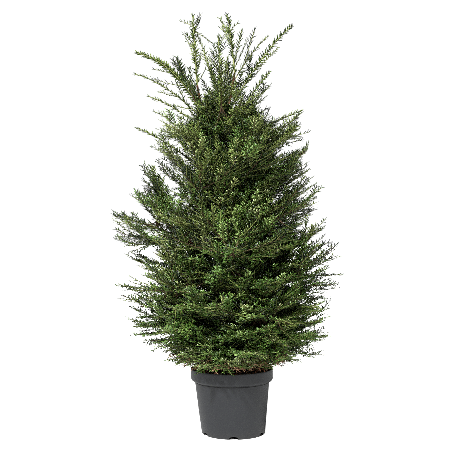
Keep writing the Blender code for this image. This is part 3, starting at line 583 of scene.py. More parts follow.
def growBody(mass, number):
    dice = random.Random(bodySizes["seed"] * 100 + number)
    tip = mass["tip"]
    azimuth, level = math.atan2(tip.y, tip.x), math.hypot(tip.x, tip.y)
    middle = (mass["start"] + tip) / 2 + up * mass["bow"] * 2 * (tip - mass["start"]).length
    twigs.append({
        "points": arc(mass["start"], tip, mass["bow"], 8, mass["stemFrom"], 1.0),
        "radii": (mass["radius"] * (1.0 if mass["ownLimb"] else 1.2), bodySizes["stemTip"] * 0.8), "wood": "brown",
    })
    side = levelSide(tip - mass["start"])
    shoots.append({
        "points": arc(mass["start"], tip, mass["bow"], 8, 0.5, 1.0), "side": side, "tone": toneAt(tip, dice, 0.1),
        "vigour": 1.0, "spin": 0.0, "from": 0.5,
    })
    addTwigs(mass["start"], middle, tip, side, dice, growth["twigEvery"], 0.085, 0.036, 0.25)
    for k in range(growth["branches"]):
        away = growth["spread"] * math.sqrt((k + 0.8) / growth["branches"])
        turn = (k + number) * goldenTurn
        z = tip.z + away * math.sin(turn)
        z = min(max(z, growth["lowest"] + dice.uniform(0, 0.03)), growth["highest"] - dice.uniform(0, 0.10))
        around = azimuth + away * math.cos(turn) / level
        reach = tipReach(z, around, dice)
        target = Vector((reach * math.cos(around), reach * math.sin(around), z))
        share = mix(growth["rootOuter"], growth["rootInner"], away / growth["spread"]) + dice.uniform(-0.08, 0.08)
        root = arc(mass["start"], tip, mass["bow"], 1, share, share)[0]
        addBranch(root, target, around, dice)


def rootFor(target, bodies):  # a place on some mass's own stem, from where a branch rises to the target at the usual angle
    length, rise = growth["rootAway"], math.sin(riseAt(target.z)) * growth["rootAway"]
    spots = [arc(mass["start"], mass["tip"], mass["bow"], 1, share, share)[0] for mass in bodies for share in (0.2, 0.35, 0.5, 0.65)]
    return min(spots, key=lambda spot: abs((spot - target).length - length) + 0.8 * abs(target.z - spot.z - rise))


def growBetween():  # branches on a golden spiral over the whole crown, which close the gaps between the masses
    dice = random.Random(bodySizes["seed"] * 5)
    bodies = [mass for mass in masses if mass["name"].startswith("foliage")]
    for k in range(growth["fillers"]):
        z = mix(growth["lowest"], growth["highest"] - 0.02, ((k + 0.5) / growth["fillers"]) ** growth["lowBias"]) + dice.gauss(0, 0.012)
        around = k * goldenTurn
        reach = tipReach(z, around, dice)
        if k % growth["innerEvery"] == 0:  # every few branches stay inside and close the view through the crown
            reach *= dice.uniform(*growth["innerReach"])
        target = Vector((reach * math.cos(around), reach * math.sin(around), max(z, growth["lowest"])))
        addBranch(rootFor(target, bodies), target, around, dice)


def growShoot(mass, number):
    dice = random.Random(bodySizes["seed"] * 100 + number)
    start, tip = mass["start"], mass["tip"]
    middle = (start + tip) / 2 + up * mass["bow"] * 2 * (tip - start).length
    side = levelSide(tip - start)
    side.rotate(Matrix.Rotation(dice.choice((-1, 1)) * dice.uniform(0.5, 0.9), 3, (tip - start).normalized()))
    twigs.append({"points": bend(start, middle, tip, 9, 0.02), "radii": (mass["radius"], 0.0014), "wood": "green"})
    other = Matrix.Rotation(0.7, 3, (tip - start).normalized()) @ side
    for rank, first, last, tone in ((side, 0.10, 0.50, "deep"), (side, 0.50, 1.0, "leaf"), (other, 0.12, 1.0, "deep")):
        shoots.append({
            "points": bend(start, middle, tip, 8, first, last), "side": rank, "tone": tone,
            "vigour": 0.90, "spin": 0.0, "from": first,
        })
    addTwigs(start, middle, tip, side, dice, 0.026, 0.095, 0.040, 0.14, 0.10, last=0.42)


def growLeader(mass, number):
    dice = random.Random(bodySizes["seed"] * 100 + number)
    start, tip = mass["start"], mass["tip"]
    middle = (start + tip) / 2 + up * mass["bow"] * 2 * (tip - start).length
    side = Vector((1, 0, 0))
    twigs.append({"points": bend(start, middle, tip, 9), "radii": (mass["radius"], 0.0015), "wood": "green"})
    for rank, tone in ((side, "leaf"), (Vector((0, 1, 0)), "deep")):
        shoots.append({
            "points": bend(start, middle, tip, 9), "side": rank, "tone": tone, "vigour": 0.90, "spin": 1.0, "from": 0,
        })
    longest = 0.060 if mass["name"] == "tip_left" else 0.085
    addTwigs(start, middle, tip, side, dice, 0.022, longest, 0.035, 0.0, 0.45, spin=1.0, last=0.90)


def growTop():  # side branches of the trunk's upper part and of the leaders
    dice = random.Random(bodySizes["seed"] * 7)
    for root, target in topSprigs:
        root, target = Vector(root), Vector(target)
        bendAt = (root + target) / 2 + up * 0.006
        addShoot(root, bendAt, target, levelSide(target - root), (0.0015, 0.0010), "deep", "green", 0.1, 0.85)
    rows = (("trunk", 0.90, 1.115, 14, 0.135), ("leader_left", 0.93, 1.09, 4, 0.085), ("leader_right", 1.04, 1.20, 5, 0.085))
    for name, low, high, count, longest in rows:
        for k in range(count):
            height = mix(low, high, (k + 0.5) / count)
            root = atHeight(limbs[name], height)[0]
            around = k * goldenTurn + dice.uniform(-0.4, 0.4)
            length = longest * mix(1.0, 0.6, k / count) * dice.uniform(0.75, 1.1)
            rise = math.radians(mix(40, 58, k / count) + dice.gauss(0, 6))
            level = Vector((math.cos(around), math.sin(around), 0))
            target = root + (level * math.cos(rise) + up * math.sin(rise)) * length
            addBranch(root, target, around, dice, 0.15, 0.022)


def growOutline():  # the single shoots that stand out at the sides
    dice = random.Random(bodySizes["seed"] * 11)
    bodies = [mass for mass in masses if mass["name"].startswith("foliage")]
    for hand, rows in outlineTips.items():
        for height, away in rows:
            away -= growth["tipRoom"]
            target = Vector((-away if hand == "left" else away, dice.uniform(-0.09, 0.09), height))
            addBranch(rootFor(target, bodies), target, math.atan2(target.y, target.x), dice, 0.1)


for number, mass in enumerate(masses):
    if mass["name"].startswith("foliage"):
        growBody(mass, number)
    elif mass["name"].startswith("tip"):
        growLeader(mass, number)
    else:
        growShoot(mass, number)
growBetween()
growTop()
growOutline()
print("growth:", len(twigs), "woody lines,", len(shoots), "leafy shoots,",
      round(sum((b - a).length for shoot in shoots for a, b in zip(shoot["points"], shoot["points"][1:]))), "m in all")


# Needles

needleSizes = {
    "Spacing": 0.0047, "Length": 0.0200, "Width": 0.0055, "Splay": math.radians(51), "Tip splay": math.radians(32),
    "Lift": 0.12, "Scatter": 0.34, "Seed": 5,
}
needleTones = {  # the darkest and the lightest needle's green, the paler green below, and the waxy skin's roughness
    "shade": ("#050E02", "#1A3010", "#182A0E", 0.30),
    "deep": ("#0C1A05", "#48641F", "#485C26", 0.26),
    "leaf": ("#18280A", "#80983E", "#7A8C46", 0.24),
    "bright": ("#243C10", "#AEC06C", "#A6B270", 0.24),
    "moss": ("#0A1A03", "#3C661C", "#426024", 0.26),
    "grass": ("#122806", "#6A9C38", "#6A9042", 0.24),
    "lime": ("#1D3E0C", "#9AC45E", "#98B668", 0.24),
    "fresh": ("#2C4818", "#BAC888", "#AEBA82", 0.26),
    "young": ("#384E20", "#C2C898", "#B6BC90", 0.30),
    "dry": ("#6E3E26", "#D2A88A", "#B88E6E", 0.70),
}


def needleFinish(name):  # waxy conifer needle: soft gloss over a green that differs from needle to needle
    dark, light, pale, roughness = needleTones[name]
    made, tree, shader = newMaterial("waxy yew needle, " + name)
    where = node(tree, "ShaderNodeTexCoord")
    wander = node(tree, "ShaderNodeTexNoise", Vector=where.outputs["Object"], Scale=140.0, Detail=2.0)
    fleck = node(tree, "ShaderNodeAttribute", {"attribute_name": "fleck"})
    both = node(tree, "ShaderNodeMath", {"operation": "ADD"}, _0=fleck.outputs["Fac"], _1=wander.outputs["Fac"])
    spread = node(tree, "ShaderNodeMapRange", Value=both.outputs[0], _1=0.55, _2=1.45)
    colour = node(tree, "ShaderNodeMix", {"data_type": "RGBA"}, _0=spread.outputs[0], _6=linear(dark), _7=linear(light))
    under = node(tree, "ShaderNodeAttribute", {"attribute_name": "under"})
    sides = node(tree, "ShaderNodeMix", {"data_type": "RGBA"}, _0=under.outputs["Fac"], _6=colour.outputs[2], _7=linear(pale))
    tree.links.new(sides.outputs[2], shader.inputs["Base Color"])
    gloss = node(tree, "ShaderNodeMapRange", Value=wander.outputs["Fac"], _3=roughness - 0.08, _4=roughness + 0.12)
    tree.links.new(gloss.outputs[0], shader.inputs["Roughness"])
    shader.inputs["IOR"].default_value = 1.45
    return made


def needleBody():  # one slightly sickle-shaped needle of unit size, a closed body of four faces, pointing along X
    mesh = bpy.data.meshes.new("needleBody")
    points = [(0.05, 0.42, -0.10), (0, -0.42, 0.10), (0.93, 0.22, 0.10), (1, -0.12, -0.10)]
    faces = [(0, 1, 2), (2, 1, 3), (0, 3, 1), (0, 2, 3)]
    mesh.from_pydata(points, [], faces)
    mesh.shade_smooth()  # smooth shading makes a glint on a needle, as its rounded face does
    under = mesh.attributes.new("under", "FLOAT", "FACE")
    under.data.foreach_set("value", (0.0, 0.0, 1.0, 1.0))
    return placed("needleBody", mesh)


def needleTree():
    tree, given = openTree("needlesOnShoots", ("Part",) + tuple(needleSizes))
    lines = node(tree, "GeometryNodeMeshToCurve", Mesh=given["Geometry"])
    spots = node(tree, "GeometryNodeCurveToPoints", {"mode": "LENGTH"}, Curve=lines.outputs[0], Length=given["Spacing"])
    side = node(tree, "GeometryNodeInputNamedAttribute", {"data_type": "FLOAT_VECTOR"}, Name="side")
    along = node(tree, "GeometryNodeInputNamedAttribute", {"data_type": "FLOAT"}, Name="along")
    vigour = node(tree, "GeometryNodeInputNamedAttribute", {"data_type": "FLOAT"}, Name="vigour")
    spin = node(tree, "GeometryNodeInputNamedAttribute", {"data_type": "FLOAT"}, Name="spin")
    index = node(tree, "GeometryNodeInputIndex")
    odd = node(tree, "ShaderNodeMath", {"operation": "MODULO"}, _0=index.outputs[0], _1=2.0)
    hand = node(tree, "ShaderNodeMath", {"operation": "MULTIPLY_ADD"}, _0=odd.outputs[0], _1=2.0, _2=-1.0)
    dice = node(tree, "FunctionNodeRandomValue", {"data_type": "FLOAT_VECTOR"}, _0=(-1, -1, -1), _1=(1, 1, 1), Seed=given["Seed"])
    parts = node(tree, "ShaderNodeSeparateXYZ", _0=dice.outputs[0])
    tangent = spots.outputs["Tangent"]
    # on an upright leader the needles stand all round it, on other shoots in two ranks
    turns = node(tree, "ShaderNodeMath", {"operation": "MULTIPLY"}, _0=index.outputs[0], _1=goldenTurn)
    turned = node(tree, "ShaderNodeMath", {"operation": "MULTIPLY"}, _0=turns.outputs[0], _1=spin.outputs[0])
    across = node(tree, "ShaderNodeVectorRotate", {"rotation_type": "AXIS_ANGLE"}, Vector=side.outputs[0], Axis=tangent, Angle=turned.outputs[0])
    above = node(tree, "ShaderNodeVectorMath", {"operation": "CROSS_PRODUCT"}, _0=tangent, _1=across.outputs[0])
    # the angle from the shoot closes towards its tip
    closing = node(tree, "ShaderNodeMath", {"operation": "POWER"}, _0=along.outputs[0], _1=3.0)
    splay = node(tree, "ShaderNodeMapRange", Value=closing.outputs[0], _3=given["Splay"], _4=given["Tip splay"])
    jitter = node(tree, "ShaderNodeMath", {"operation": "MULTIPLY"}, _0=parts.outputs[0], _1=given["Scatter"])
    angle = node(tree, "ShaderNodeMath", {"operation": "ADD"}, _0=splay.outputs[0], _1=jitter.outputs[0])
    cosine = node(tree, "ShaderNodeMath", {"operation": "COSINE"}, _0=angle.outputs[0])
    sine = node(tree, "ShaderNodeMath", {"operation": "SINE"}, _0=angle.outputs[0])
    sideways = node(tree, "ShaderNodeMath", {"operation": "MULTIPLY"}, _0=sine.outputs[0], _1=hand.outputs[0])
    scatter = node(tree, "ShaderNodeMath", {"operation": "MULTIPLY"}, _0=parts.outputs[1], _1=given["Scatter"])
    lift = node(tree, "ShaderNodeMath", {"operation": "MULTIPLY_ADD"}, _0=scatter.outputs[0], _1=1.6, _2=given["Lift"])
    ahead = node(tree, "ShaderNodeVectorMath", {"operation": "SCALE"}, Vector=tangent, Scale=cosine.outputs[0])
    outward = node(tree, "ShaderNodeVectorMath", {"operation": "SCALE"}, Vector=across.outputs[0], Scale=sideways.outputs[0])
    raised = node(tree, "ShaderNodeVectorMath", {"operation": "SCALE"}, Vector=above.outputs[0], Scale=lift.outputs[0])
    flat = node(tree, "ShaderNodeVectorMath", {"operation": "ADD"}, _0=ahead.outputs[0], _1=outward.outputs[0])
    heading = node(tree, "ShaderNodeVectorMath", {"operation": "ADD"}, _0=flat.outputs[0], _1=raised.outputs[0])
    facing = node(tree, "FunctionNodeAxesToRotation", {"primary_axis": "X", "secondary_axis": "Z"}, _0=heading.outputs[0], _1=above.outputs[0])
    # shorter at both ends of the shoot
    centred = node(tree, "ShaderNodeMath", {"operation": "MULTIPLY_ADD"}, _0=along.outputs[0], _1=2.0, _2=-1.0)
    ends = node(tree, "ShaderNodeMath", {"operation": "POWER"}, _0=centred.outputs[0], _1=4.0)
    taper = node(tree, "ShaderNodeMath", {"operation": "MULTIPLY_ADD"}, _0=ends.outputs[0], _1=-0.34, _2=1.0)
    uneven = node(tree, "ShaderNodeMath", {"operation": "MULTIPLY_ADD"}, _0=parts.outputs[2], _1=0.13, _2=0.95)
    strength = node(tree, "ShaderNodeMath", {"operation": "MULTIPLY"}, _0=taper.outputs[0], _1=uneven.outputs[0])
    grown = node(tree, "ShaderNodeMath", {"operation": "MULTIPLY"}, _0=strength.outputs[0], _1=vigour.outputs[0])
    length = node(tree, "ShaderNodeMath", {"operation": "MULTIPLY"}, _0=grown.outputs[0], _1=given["Length"])
    size = node(tree, "ShaderNodeCombineXYZ", X=length.outputs[0], Y=given["Width"], Z=given["Width"])
    part = node(tree, "GeometryNodeObjectInfo", Object=given["Part"])
    needles = node(tree, "GeometryNodeInstanceOnPoints", Points=spots.outputs["Points"], Instance=part.outputs["Geometry"],
                   Rotation=facing.outputs[0], Scale=size.outputs[0])
    fleck = node(tree, "FunctionNodeRandomValue", {"data_type": "FLOAT"}, Seed=given["Seed"])
    marked = node(tree, "GeometryNodeStoreNamedAttribute", {"data_type": "FLOAT", "domain": "INSTANCE"},
                  Geometry=needles.outputs[0], Name="fleck", Value=fleck.outputs[1])
    closeTree(tree, marked.outputs[0], given["Finish"])
    return tree


def linesMesh(name, lines):  # the lines as loose edges, with what the trees read stored on every point
    points, edges, values = [], [], {"side": [], "along": [], "vigour": [], "spin": [], "thick": []}
    for line in lines:
        first, last = len(points), len(line["points"]) - 1
        points += line["points"]
        edges += [(first + k, first + k + 1) for k in range(last)]
        for k in range(last + 1):
            share = k / last
            values["side"].append(line.get("side", up))
            values["along"].append(mix(line.get("from", 0.0), 1.0, share))
            values["vigour"].append(line.get("vigour", 1.0))
            values["spin"].append(line.get("spin", 0.0))
            values["thick"].append(mix(*line["radii"], share) if "radii" in line else 0.0)
    mesh = bpy.data.meshes.new(name)
    mesh.from_pydata(points, edges, [])
    for key, found in values.items():
        layer = mesh.attributes.new(key, "FLOAT_VECTOR" if key == "side" else "FLOAT", "POINT")
        layer.data.foreach_set("vector" if key == "side" else "value", np.array(found, np.float32).ravel())
    return mesh


def lineLength(line):
    return sum((b - a).length for a, b in zip(line["points"], line["points"][1:]))


needleNodes = [mass["name"] for mass in masses]
mostNeedles = 48500  # of four faces each, in one piece
needle = needleBody()
tree = needleTree()
total = 0
for tone in needleTones:
    batches, room = [[]], mostNeedles
    for shoot in [shoot for shoot in shoots if shoot["tone"] == tone]:
        count = lineLength(shoot) / needleSizes["Spacing"] + 1
        if count > room:
            batches.append([])
            room = mostNeedles
        batches[-1].append(shoot)
        room -= count
    for k, batch in enumerate(batches):
        if batch:
            name = "needles_" + tone + ("_%d" % (k + 1) if len(batches) > 1 else "")
            piece = placed(name, linesMesh(name, batch))
            grown(piece, tree, needleFinish(tone), dict(needleSizes, Part=needle))
            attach(piece, "root")
            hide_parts(*needleNodes)
            total += len(piece.data.polygons)
            print(name, len(piece.data.polygons), "triangles")
bpy.data.objects.remove(needle)
print("needles:", total, "triangles")

# Twigs

twigSizes = {"Sides": 3, "Seed": 1}


woodKinds = {  # two colours and the roughness of each age of wood
    "brown": ("#33241A", "#6A5036", 0.75), "olive": ("#6E7A3C", "#98A05A", 0.55), "green": ("#848F4C", "#B0B474", 0.50),
}


def twigFinish(wood):  # this year's shoots are ribbed and green, last year's olive, older wood brown and dull
    made, tree, shader = newMaterial("yew twig, " + wood)
    dark, light, roughness = woodKinds[wood]
    where = node(tree, "ShaderNodeTexCoord")
    streaks = node(tree, "ShaderNodeTexNoise", Vector=where.outputs["Object"], Scale=220.0, Detail=3.0)
    colour = node(tree, "ShaderNodeMix", {"data_type": "RGBA"}, _0=streaks.outputs["Fac"], _6=linear(dark), _7=linear(light))
    bump = node(tree, "ShaderNodeBump", Height=streaks.outputs["Fac"], Strength=0.4, Distance=0.0004)
    tree.links.new(colour.outputs[2], shader.inputs["Base Color"])
    tree.links.new(bump.outputs[0], shader.inputs["Normal"])
    shader.inputs["Roughness"].default_value = roughness
    return made


def twigTree():
    tree, given = openTree("twigsAlongLines", ("Seed",))
    lines = node(tree, "GeometryNodeMeshToCurve", Mesh=given["Geometry"])
    thick = node(tree, "GeometryNodeInputNamedAttribute", {"data_type": "FLOAT"}, Name="thick")
    ring = node(tree, "GeometryNodeCurvePrimitiveCircle", Resolution=twigSizes["Sides"], Radius=1.0)
    tube = node(tree, "GeometryNodeCurveToMesh", Curve=lines.outputs[0], Profile_Curve=ring.outputs[0], Scale=thick.outputs[0], Fill_Caps=True)
    smooth = node(tree, "GeometryNodeSetShadeSmooth", Geometry=tube.outputs[0], Shade_Smooth=True)
    closeTree(tree, smooth.outputs[0], given["Finish"])
    return tree


tree = twigTree()
for wood in woodKinds:
    name = "twigs_" + wood
    piece = placed(name, linesMesh(name, [twig for twig in twigs if twig["wood"] == wood]))
    grown(piece, tree, twigFinish(wood), {"Seed": twigSizes["Seed"]})
    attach(piece, "root")
    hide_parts(*needleNodes)
    print(name, sum(len(face.vertices) - 2 for face in piece.data.polygons), "triangles")

# Trunk, leaders and boughs with the bark's relief

barkSizes = {"Step": 0.006, "Relief": 0.0011, "Ridges": 95.0, "Seed": 3}


def barkFinish():  # thin flaking bark: brown plates that lift from redder, smoother wood
    made, tree, shader = newMaterial("flaking yew bark")
    where = node(tree, "ShaderNodeTexCoord")
    long = node(tree, "ShaderNodeMapping", Vector=where.outputs["Object"], Scale=(1.0, 1.0, 0.28))
    plates = node(tree, "ShaderNodeTexVoronoi", {"feature": "DISTANCE_TO_EDGE"}, Vector=long.outputs[0], Scale=160.0)
    grain = node(tree, "ShaderNodeTexNoise", Vector=long.outputs[0], Scale=260.0, Detail=5.0)
    edge = node(tree, "ShaderNodeMapRange", Value=plates.outputs["Distance"], _1=0.0, _2=0.18)
    colour = node(tree, "ShaderNodeMix", {"data_type": "RGBA"}, _0=grain.outputs["Fac"], _6=linear("#3E2619"), _7=linear("#8A5C3C"))
    seams = node(tree, "ShaderNodeMix", {"data_type": "RGBA"}, _0=edge.outputs[0], _6=linear("#5E2E1C"), _7=colour.outputs[2])
    height = node(tree, "ShaderNodeMath", {"operation": "MULTIPLY_ADD"}, _0=edge.outputs[0], _1=0.7, _2=grain.outputs["Fac"])
    bump = node(tree, "ShaderNodeBump", Height=height.outputs[0], Strength=0.7, Distance=0.0008)
    tree.links.new(seams.outputs[2], shader.inputs["Base Color"])
    tree.links.new(bump.outputs[0], shader.inputs["Normal"])
    shader.inputs["Roughness"].default_value = 0.82
    return made


def barkTree():
    tree, given = openTree("barkOnLimbs", tuple(barkSizes))
    lines = node(tree, "GeometryNodeMeshToCurve", Mesh=given["Geometry"])
    even = node(tree, "GeometryNodeResampleCurve", {"mode": "LENGTH"}, Curve=lines.outputs[0], Length=given["Step"])
    thick = node(tree, "GeometryNodeInputNamedAttribute", {"data_type": "FLOAT"}, Name="thick")
    ring = node(tree, "GeometryNodeCurvePrimitiveCircle", Resolution=22, Radius=1.0)
    tube = node(tree, "GeometryNodeCurveToMesh", Curve=even.outputs[0], Profile_Curve=ring.outputs[0], Scale=thick.outputs[0], Fill_Caps=True)
    place = node(tree, "GeometryNodeInputPosition")
    long = node(tree, "ShaderNodeVectorMath", {"operation": "MULTIPLY"}, _0=place.outputs[0], _1=(1.0, 1.0, 0.3))
    ridges = node(tree, "ShaderNodeTexNoise", Vector=long.outputs[0], Scale=given["Ridges"], Detail=4.0)
    centred = node(tree, "ShaderNodeMath", {"operation": "SUBTRACT"}, _0=ridges.outputs["Fac"], _1=0.55)
    raised = node(tree, "ShaderNodeMath", {"operation": "MULTIPLY"}, _0=centred.outputs[0], _1=given["Relief"])
    normal = node(tree, "GeometryNodeInputNormal")
    push = node(tree, "ShaderNodeVectorMath", {"operation": "SCALE"}, Vector=normal.outputs[0], Scale=raised.outputs[0])
    rough = node(tree, "GeometryNodeSetPosition", Geometry=tube.outputs[0], Offset=push.outputs[0])
    smooth = node(tree, "GeometryNodeSetShadeSmooth", Geometry=rough.outputs[0], Shade_Smooth=True)
    closeTree(tree, smooth.outputs[0], given["Finish"])
    return tree


def limbsMesh(name):
    points, edges, thick = [], [], []
    for limb in limbs.values():
        first = len(points)
        points += limb["path"]
        thick += limb["radii"]
        edges += [(first + k, first + k + 1) for k in range(len(limb["path"]) - 1)]
    mesh = bpy.data.meshes.new(name)
    mesh.from_pydata(points, edges, [])
    layer = mesh.attributes.new("thick", "FLOAT", "POINT")
    layer.data.foreach_set("value", thick)
    return mesh


bark = placed("barked_limbs", limbsMesh("barked_limbs"))
grown(bark, barkTree(), barkFinish(), barkSizes)
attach(bark, "root")
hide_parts(*limbs)
print("bark:", len(bark.data.polygons), "faces")


# The pot

# the darkest colour is painted shade for the corner under the rim
potLooks = {"colour": "#191B1F", "light": "#1D1F23", "scuff": "#34373B", "dust": "#38342F", "paintedRimShade": "#0C0C0C"}


def potFinish():  # injection-moulded polypropylene: satin, with flow marks, scuffs, a little dust and a painted shade line in the corner under the rim
    made, tree, shader = newMaterial("moulded grey polypropylene")
    where = node(tree, "ShaderNodeTexCoord")
    cloud = node(tree, "ShaderNodeTexNoise", Vector=where.outputs["Object"], Scale=9.0, Detail=3.0)
    fine = node(tree, "ShaderNodeTexNoise", Vector=where.outputs["Object"], Scale=900.0, Detail=2.0)
    flow = node(tree, "ShaderNodeMapping", Vector=where.outputs["Object"], Scale=(1.0, 1.0, 7.0))
    streaks = node(tree, "ShaderNodeTexNoise", Vector=flow.outputs[0], Scale=24.0, Detail=4.0)
    scratch = node(tree, "ShaderNodeMapRange", Value=streaks.outputs["Fac"], _1=0.66, _2=0.78)
    tint = node(tree, "ShaderNodeMapRange", Value=cloud.outputs["Fac"], _1=0.35, _2=0.7)
    body = node(tree, "ShaderNodeMix", {"data_type": "RGBA"}, _0=tint.outputs[0], _6=linear(potLooks["colour"]), _7=linear(potLooks["light"]))
    faint = node(tree, "ShaderNodeMath", {"operation": "MULTIPLY"}, _0=scratch.outputs[0], _1=0.3)
    scuffed = node(tree, "ShaderNodeMix", {"data_type": "RGBA"}, _0=faint.outputs[0], _6=body.outputs[2], _7=linear(potLooks["scuff"]))
    split = node(tree, "ShaderNodeSeparateXYZ", _0=where.outputs["Object"])
    low = node(tree, "ShaderNodeMapRange", Value=split.outputs[2], _1=0.035, _2=0.0)
    dusty = node(tree, "ShaderNodeMath", {"operation": "MULTIPLY"}, _0=low.outputs[0], _1=cloud.outputs["Fac"])
    dust = node(tree, "ShaderNodeMath", {"operation": "MULTIPLY"}, _0=dusty.outputs[0], _1=0.35)
    dressed = node(tree, "ShaderNodeMix", {"data_type": "RGBA"}, _0=dust.outputs[0], _6=scuffed.outputs[2], _7=linear(potLooks["dust"]))
    # painted shade: a thin dark band in the corner under the rim, where the rim's shadow falls on the body
    crease = potSizes["height"] - potSizes["rimHeight"]
    near = node(tree, "ShaderNodeMath", {"operation": "COMPARE"}, _0=split.outputs[2], _1=crease - 0.0012, _2=0.0022)
    paintedRimShade = node(tree, "ShaderNodeMath", {"operation": "MULTIPLY"}, _0=near.outputs[0], _1=0.75)
    dressed = node(tree, "ShaderNodeMix", {"data_type": "RGBA"}, _0=paintedRimShade.outputs[0], _6=dressed.outputs[2], _7=linear(potLooks["paintedRimShade"]))
    tree.links.new(dressed.outputs[2], shader.inputs["Base Color"])
    sheen = node(tree, "ShaderNodeMapRange", Value=streaks.outputs["Fac"], _3=0.48, _4=0.62)
    tree.links.new(sheen.outputs[0], shader.inputs["Roughness"])
    bump = node(tree, "ShaderNodeBump", Height=fine.outputs["Fac"], Strength=0.03, Distance=0.0002)
    tree.links.new(bump.outputs[0], shader.inputs["Normal"])
    shader.inputs["IOR"].default_value = 1.49
    return made


def potRow():  # outside from the underside's centre to the lip, then inside down to the floor's centre
    p = potSizes
    shoulderLow = p["height"] - p["rimHeight"]
    shoulderHigh = shoulderLow + p["shoulder"]
    inRim = p["rimRadius"] - p["rimWall"] - p["draft"]
    lip = p["lipRound"]
    rows = [(0, 0.0012), (p["base"] - 0.022, 0.0012), (p["base"] - 0.020, 0), (p["base"] - p["baseRound"], 0)]
    for k in range(1, 4):
        angle = math.pi / 2 * k / 3
        rows.append((p["base"] - p["baseRound"] * (1 - math.sin(angle)), p["baseRound"] * (1 - math.cos(angle))))
    steps, groove = p["bodySteps"], p["groove"]
    for k in range(1, steps):
        rows.append((mix(p["base"], p["bodyTop"], k / steps), mix(p["baseRound"], shoulderLow, k / steps)))
    # a groove in the corner under the rim
    rows += [(p["bodyTop"] - 0.0003, shoulderLow - groove * 3), (p["bodyTop"] - groove, shoulderLow - groove * 2.2)]
    rows += [(p["bodyTop"] - groove, shoulderLow), (p["bodyTop"] + 0.0035, shoulderLow + 0.0006), (p["rimRadius"] - 0.0042, shoulderLow + 0.0030)]
    rows += [(p["rimRadius"] - p["draft"] - 0.0008, shoulderLow + 0.0062), (p["rimRadius"] - p["draft"], shoulderLow + 0.0082)]
    for k in range(1, 8):
        rows.append((mix(p["rimRadius"] - p["draft"], p["rimRadius"] - 0.0004, k / 7), mix(shoulderLow + 0.0082, p["height"] - 0.006, k / 7)))
    for k in range(5):
        angle = math.pi * k / 4
        rows.append((p["rimRadius"] - 0.0006 - lip * 1.2 * (1 - math.cos(angle)), p["height"] - lip + lip * math.sin(angle)))
    rows += [(p["rimRadius"] - p["rimWall"], p["height"] - 0.006), (inRim, shoulderHigh), (p["bodyTop"] - p["wall"], shoulderLow)]
    rows += [(p["base"] - p["wall"], p["baseRound"] + p["wall"]), (p["base"] - p["wall"] - p["baseRound"], p["wall"]), (0, p["wall"])]
    return rows


def potRing(radius, z):
    if radius == 0:
        return [Vector((potSizes["lean"] * z / potSizes["height"], 0, z))]
    ring = []
    for k in range(potSizes["segments"]):
        angle = math.tau * k / potSizes["segments"]
        spot = Vector((math.cos(angle), math.sin(angle), 0))
        # soft walls are never quite round, and the front of the rim has a shallow dent
        soft = 0.0009 * (z / potSizes["height"]) * math.sin(2 * angle + 0.7)
        dent = 0.0026 * math.exp(-((angle - math.radians(284)) / 0.14) ** 2 - ((z - 0.184) / 0.010) ** 2)
        lean = potSizes["lean"] * z / potSizes["height"]
        ring.append(spot * (radius + soft - dent) + Vector((lean, 0, z)))
    return ring


def drainBlock(index):
    p = potSizes
    half = [(0.5, -0.3), (0.5, 0.45), (0.47, 0.62), (0.40, 0.78), (0.28, 0.91), (0.12, 0.99)]
    arch = half + [(-across, high) for across, high in reversed(half)]
    turn = Matrix.Rotation(-math.pi / 2 + math.tau * index / p["drains"], 3, "Z")
    rings = []
    for x in (p["base"] - p["drainDepth"], p["base"] + p["drainDepth"]):
        rings.append([turn @ Vector((x, w * p["drainWidth"], h * p["drainHeight"])) for w, h in arch])
    ends = [[sum(ring, Vector()) / len(ring)] for ring in rings]
    return [ends[0], rings[0], rings[1], ends[1]]


def buildPot():
    finish = potFinish()
    pot = fromRings("pot_shell", [potRing(radius, z) for radius, z in potRow()], finish)
    blocks = bpy.data.collections.new("drainBlocks")
    bpy.context.scene.collection.children.link(blocks)
    for index in range(potSizes["drains"]):
        block = fromRings("drainBlock", drainBlock(index), finish)
        bpy.context.scene.collection.objects.unlink(block)
        blocks.objects.link(block)
    cut = pot.modifiers.new("drains", "BOOLEAN")
    cut.operation = "DIFFERENCE"
    cut.operand_type = "COLLECTION"
    cut.collection = blocks
    cut.solver = "EXACT"
    graph = bpy.context.evaluated_depsgraph_get()
    mesh = bpy.data.meshes.new_from_object(pot.evaluated_get(graph))
    pot.modifiers.clear()
    pot.data = mesh
    for block in list(blocks.objects):
        bpy.data.objects.remove(block)
    bpy.data.collections.remove(blocks)
    mesh.shade_smooth()
    mesh.set_sharp_from_angle(angle=math.radians(32))
    return pot


pot = buildPot()
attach(pot, "root")
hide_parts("pot")
print("pot:", len(pot.data.polygons), "faces")

# The bark mulch

mulchSizes = {"level": 0.203, "mound": 0.009, "rings": 26, "segments": 96, "rough": 0.0035}
chipSizes = {"Density": 9000.0, "Smallest": 0.0035, "Largest": 0.011, "Seed": 8}
litterSizes = {"Density": 14000.0, "Smallest": 0.012, "Largest": 0.024, "Seed": 4}


def mulchFinish(name, dark, light, scale):  # composted bark: dull, fibrous, from black to reddish brown
    made, tree, shader = newMaterial(name)
    where = node(tree, "ShaderNodeTexCoord")
    grain = node(tree, "ShaderNodeTexNoise", Vector=where.outputs["Object"], Scale=scale, Detail=5.0, Roughness=0.65)
    spread = node(tree, "ShaderNodeMapRange", Value=grain.outputs["Fac"], _1=0.3, _2=0.7)
    colour = node(tree, "ShaderNodeMix", {"data_type": "RGBA"}, _0=spread.outputs[0], _6=linear(dark), _7=linear(light))
    bump = node(tree, "ShaderNodeBump", Height=grain.outputs["Fac"], Strength=0.8, Distance=0.001)
    tree.links.new(colour.outputs[2], shader.inputs["Base Color"])
    tree.links.new(bump.outputs[0], shader.inputs["Normal"])
    shader.inputs["Roughness"].default_value = 0.9
    return made


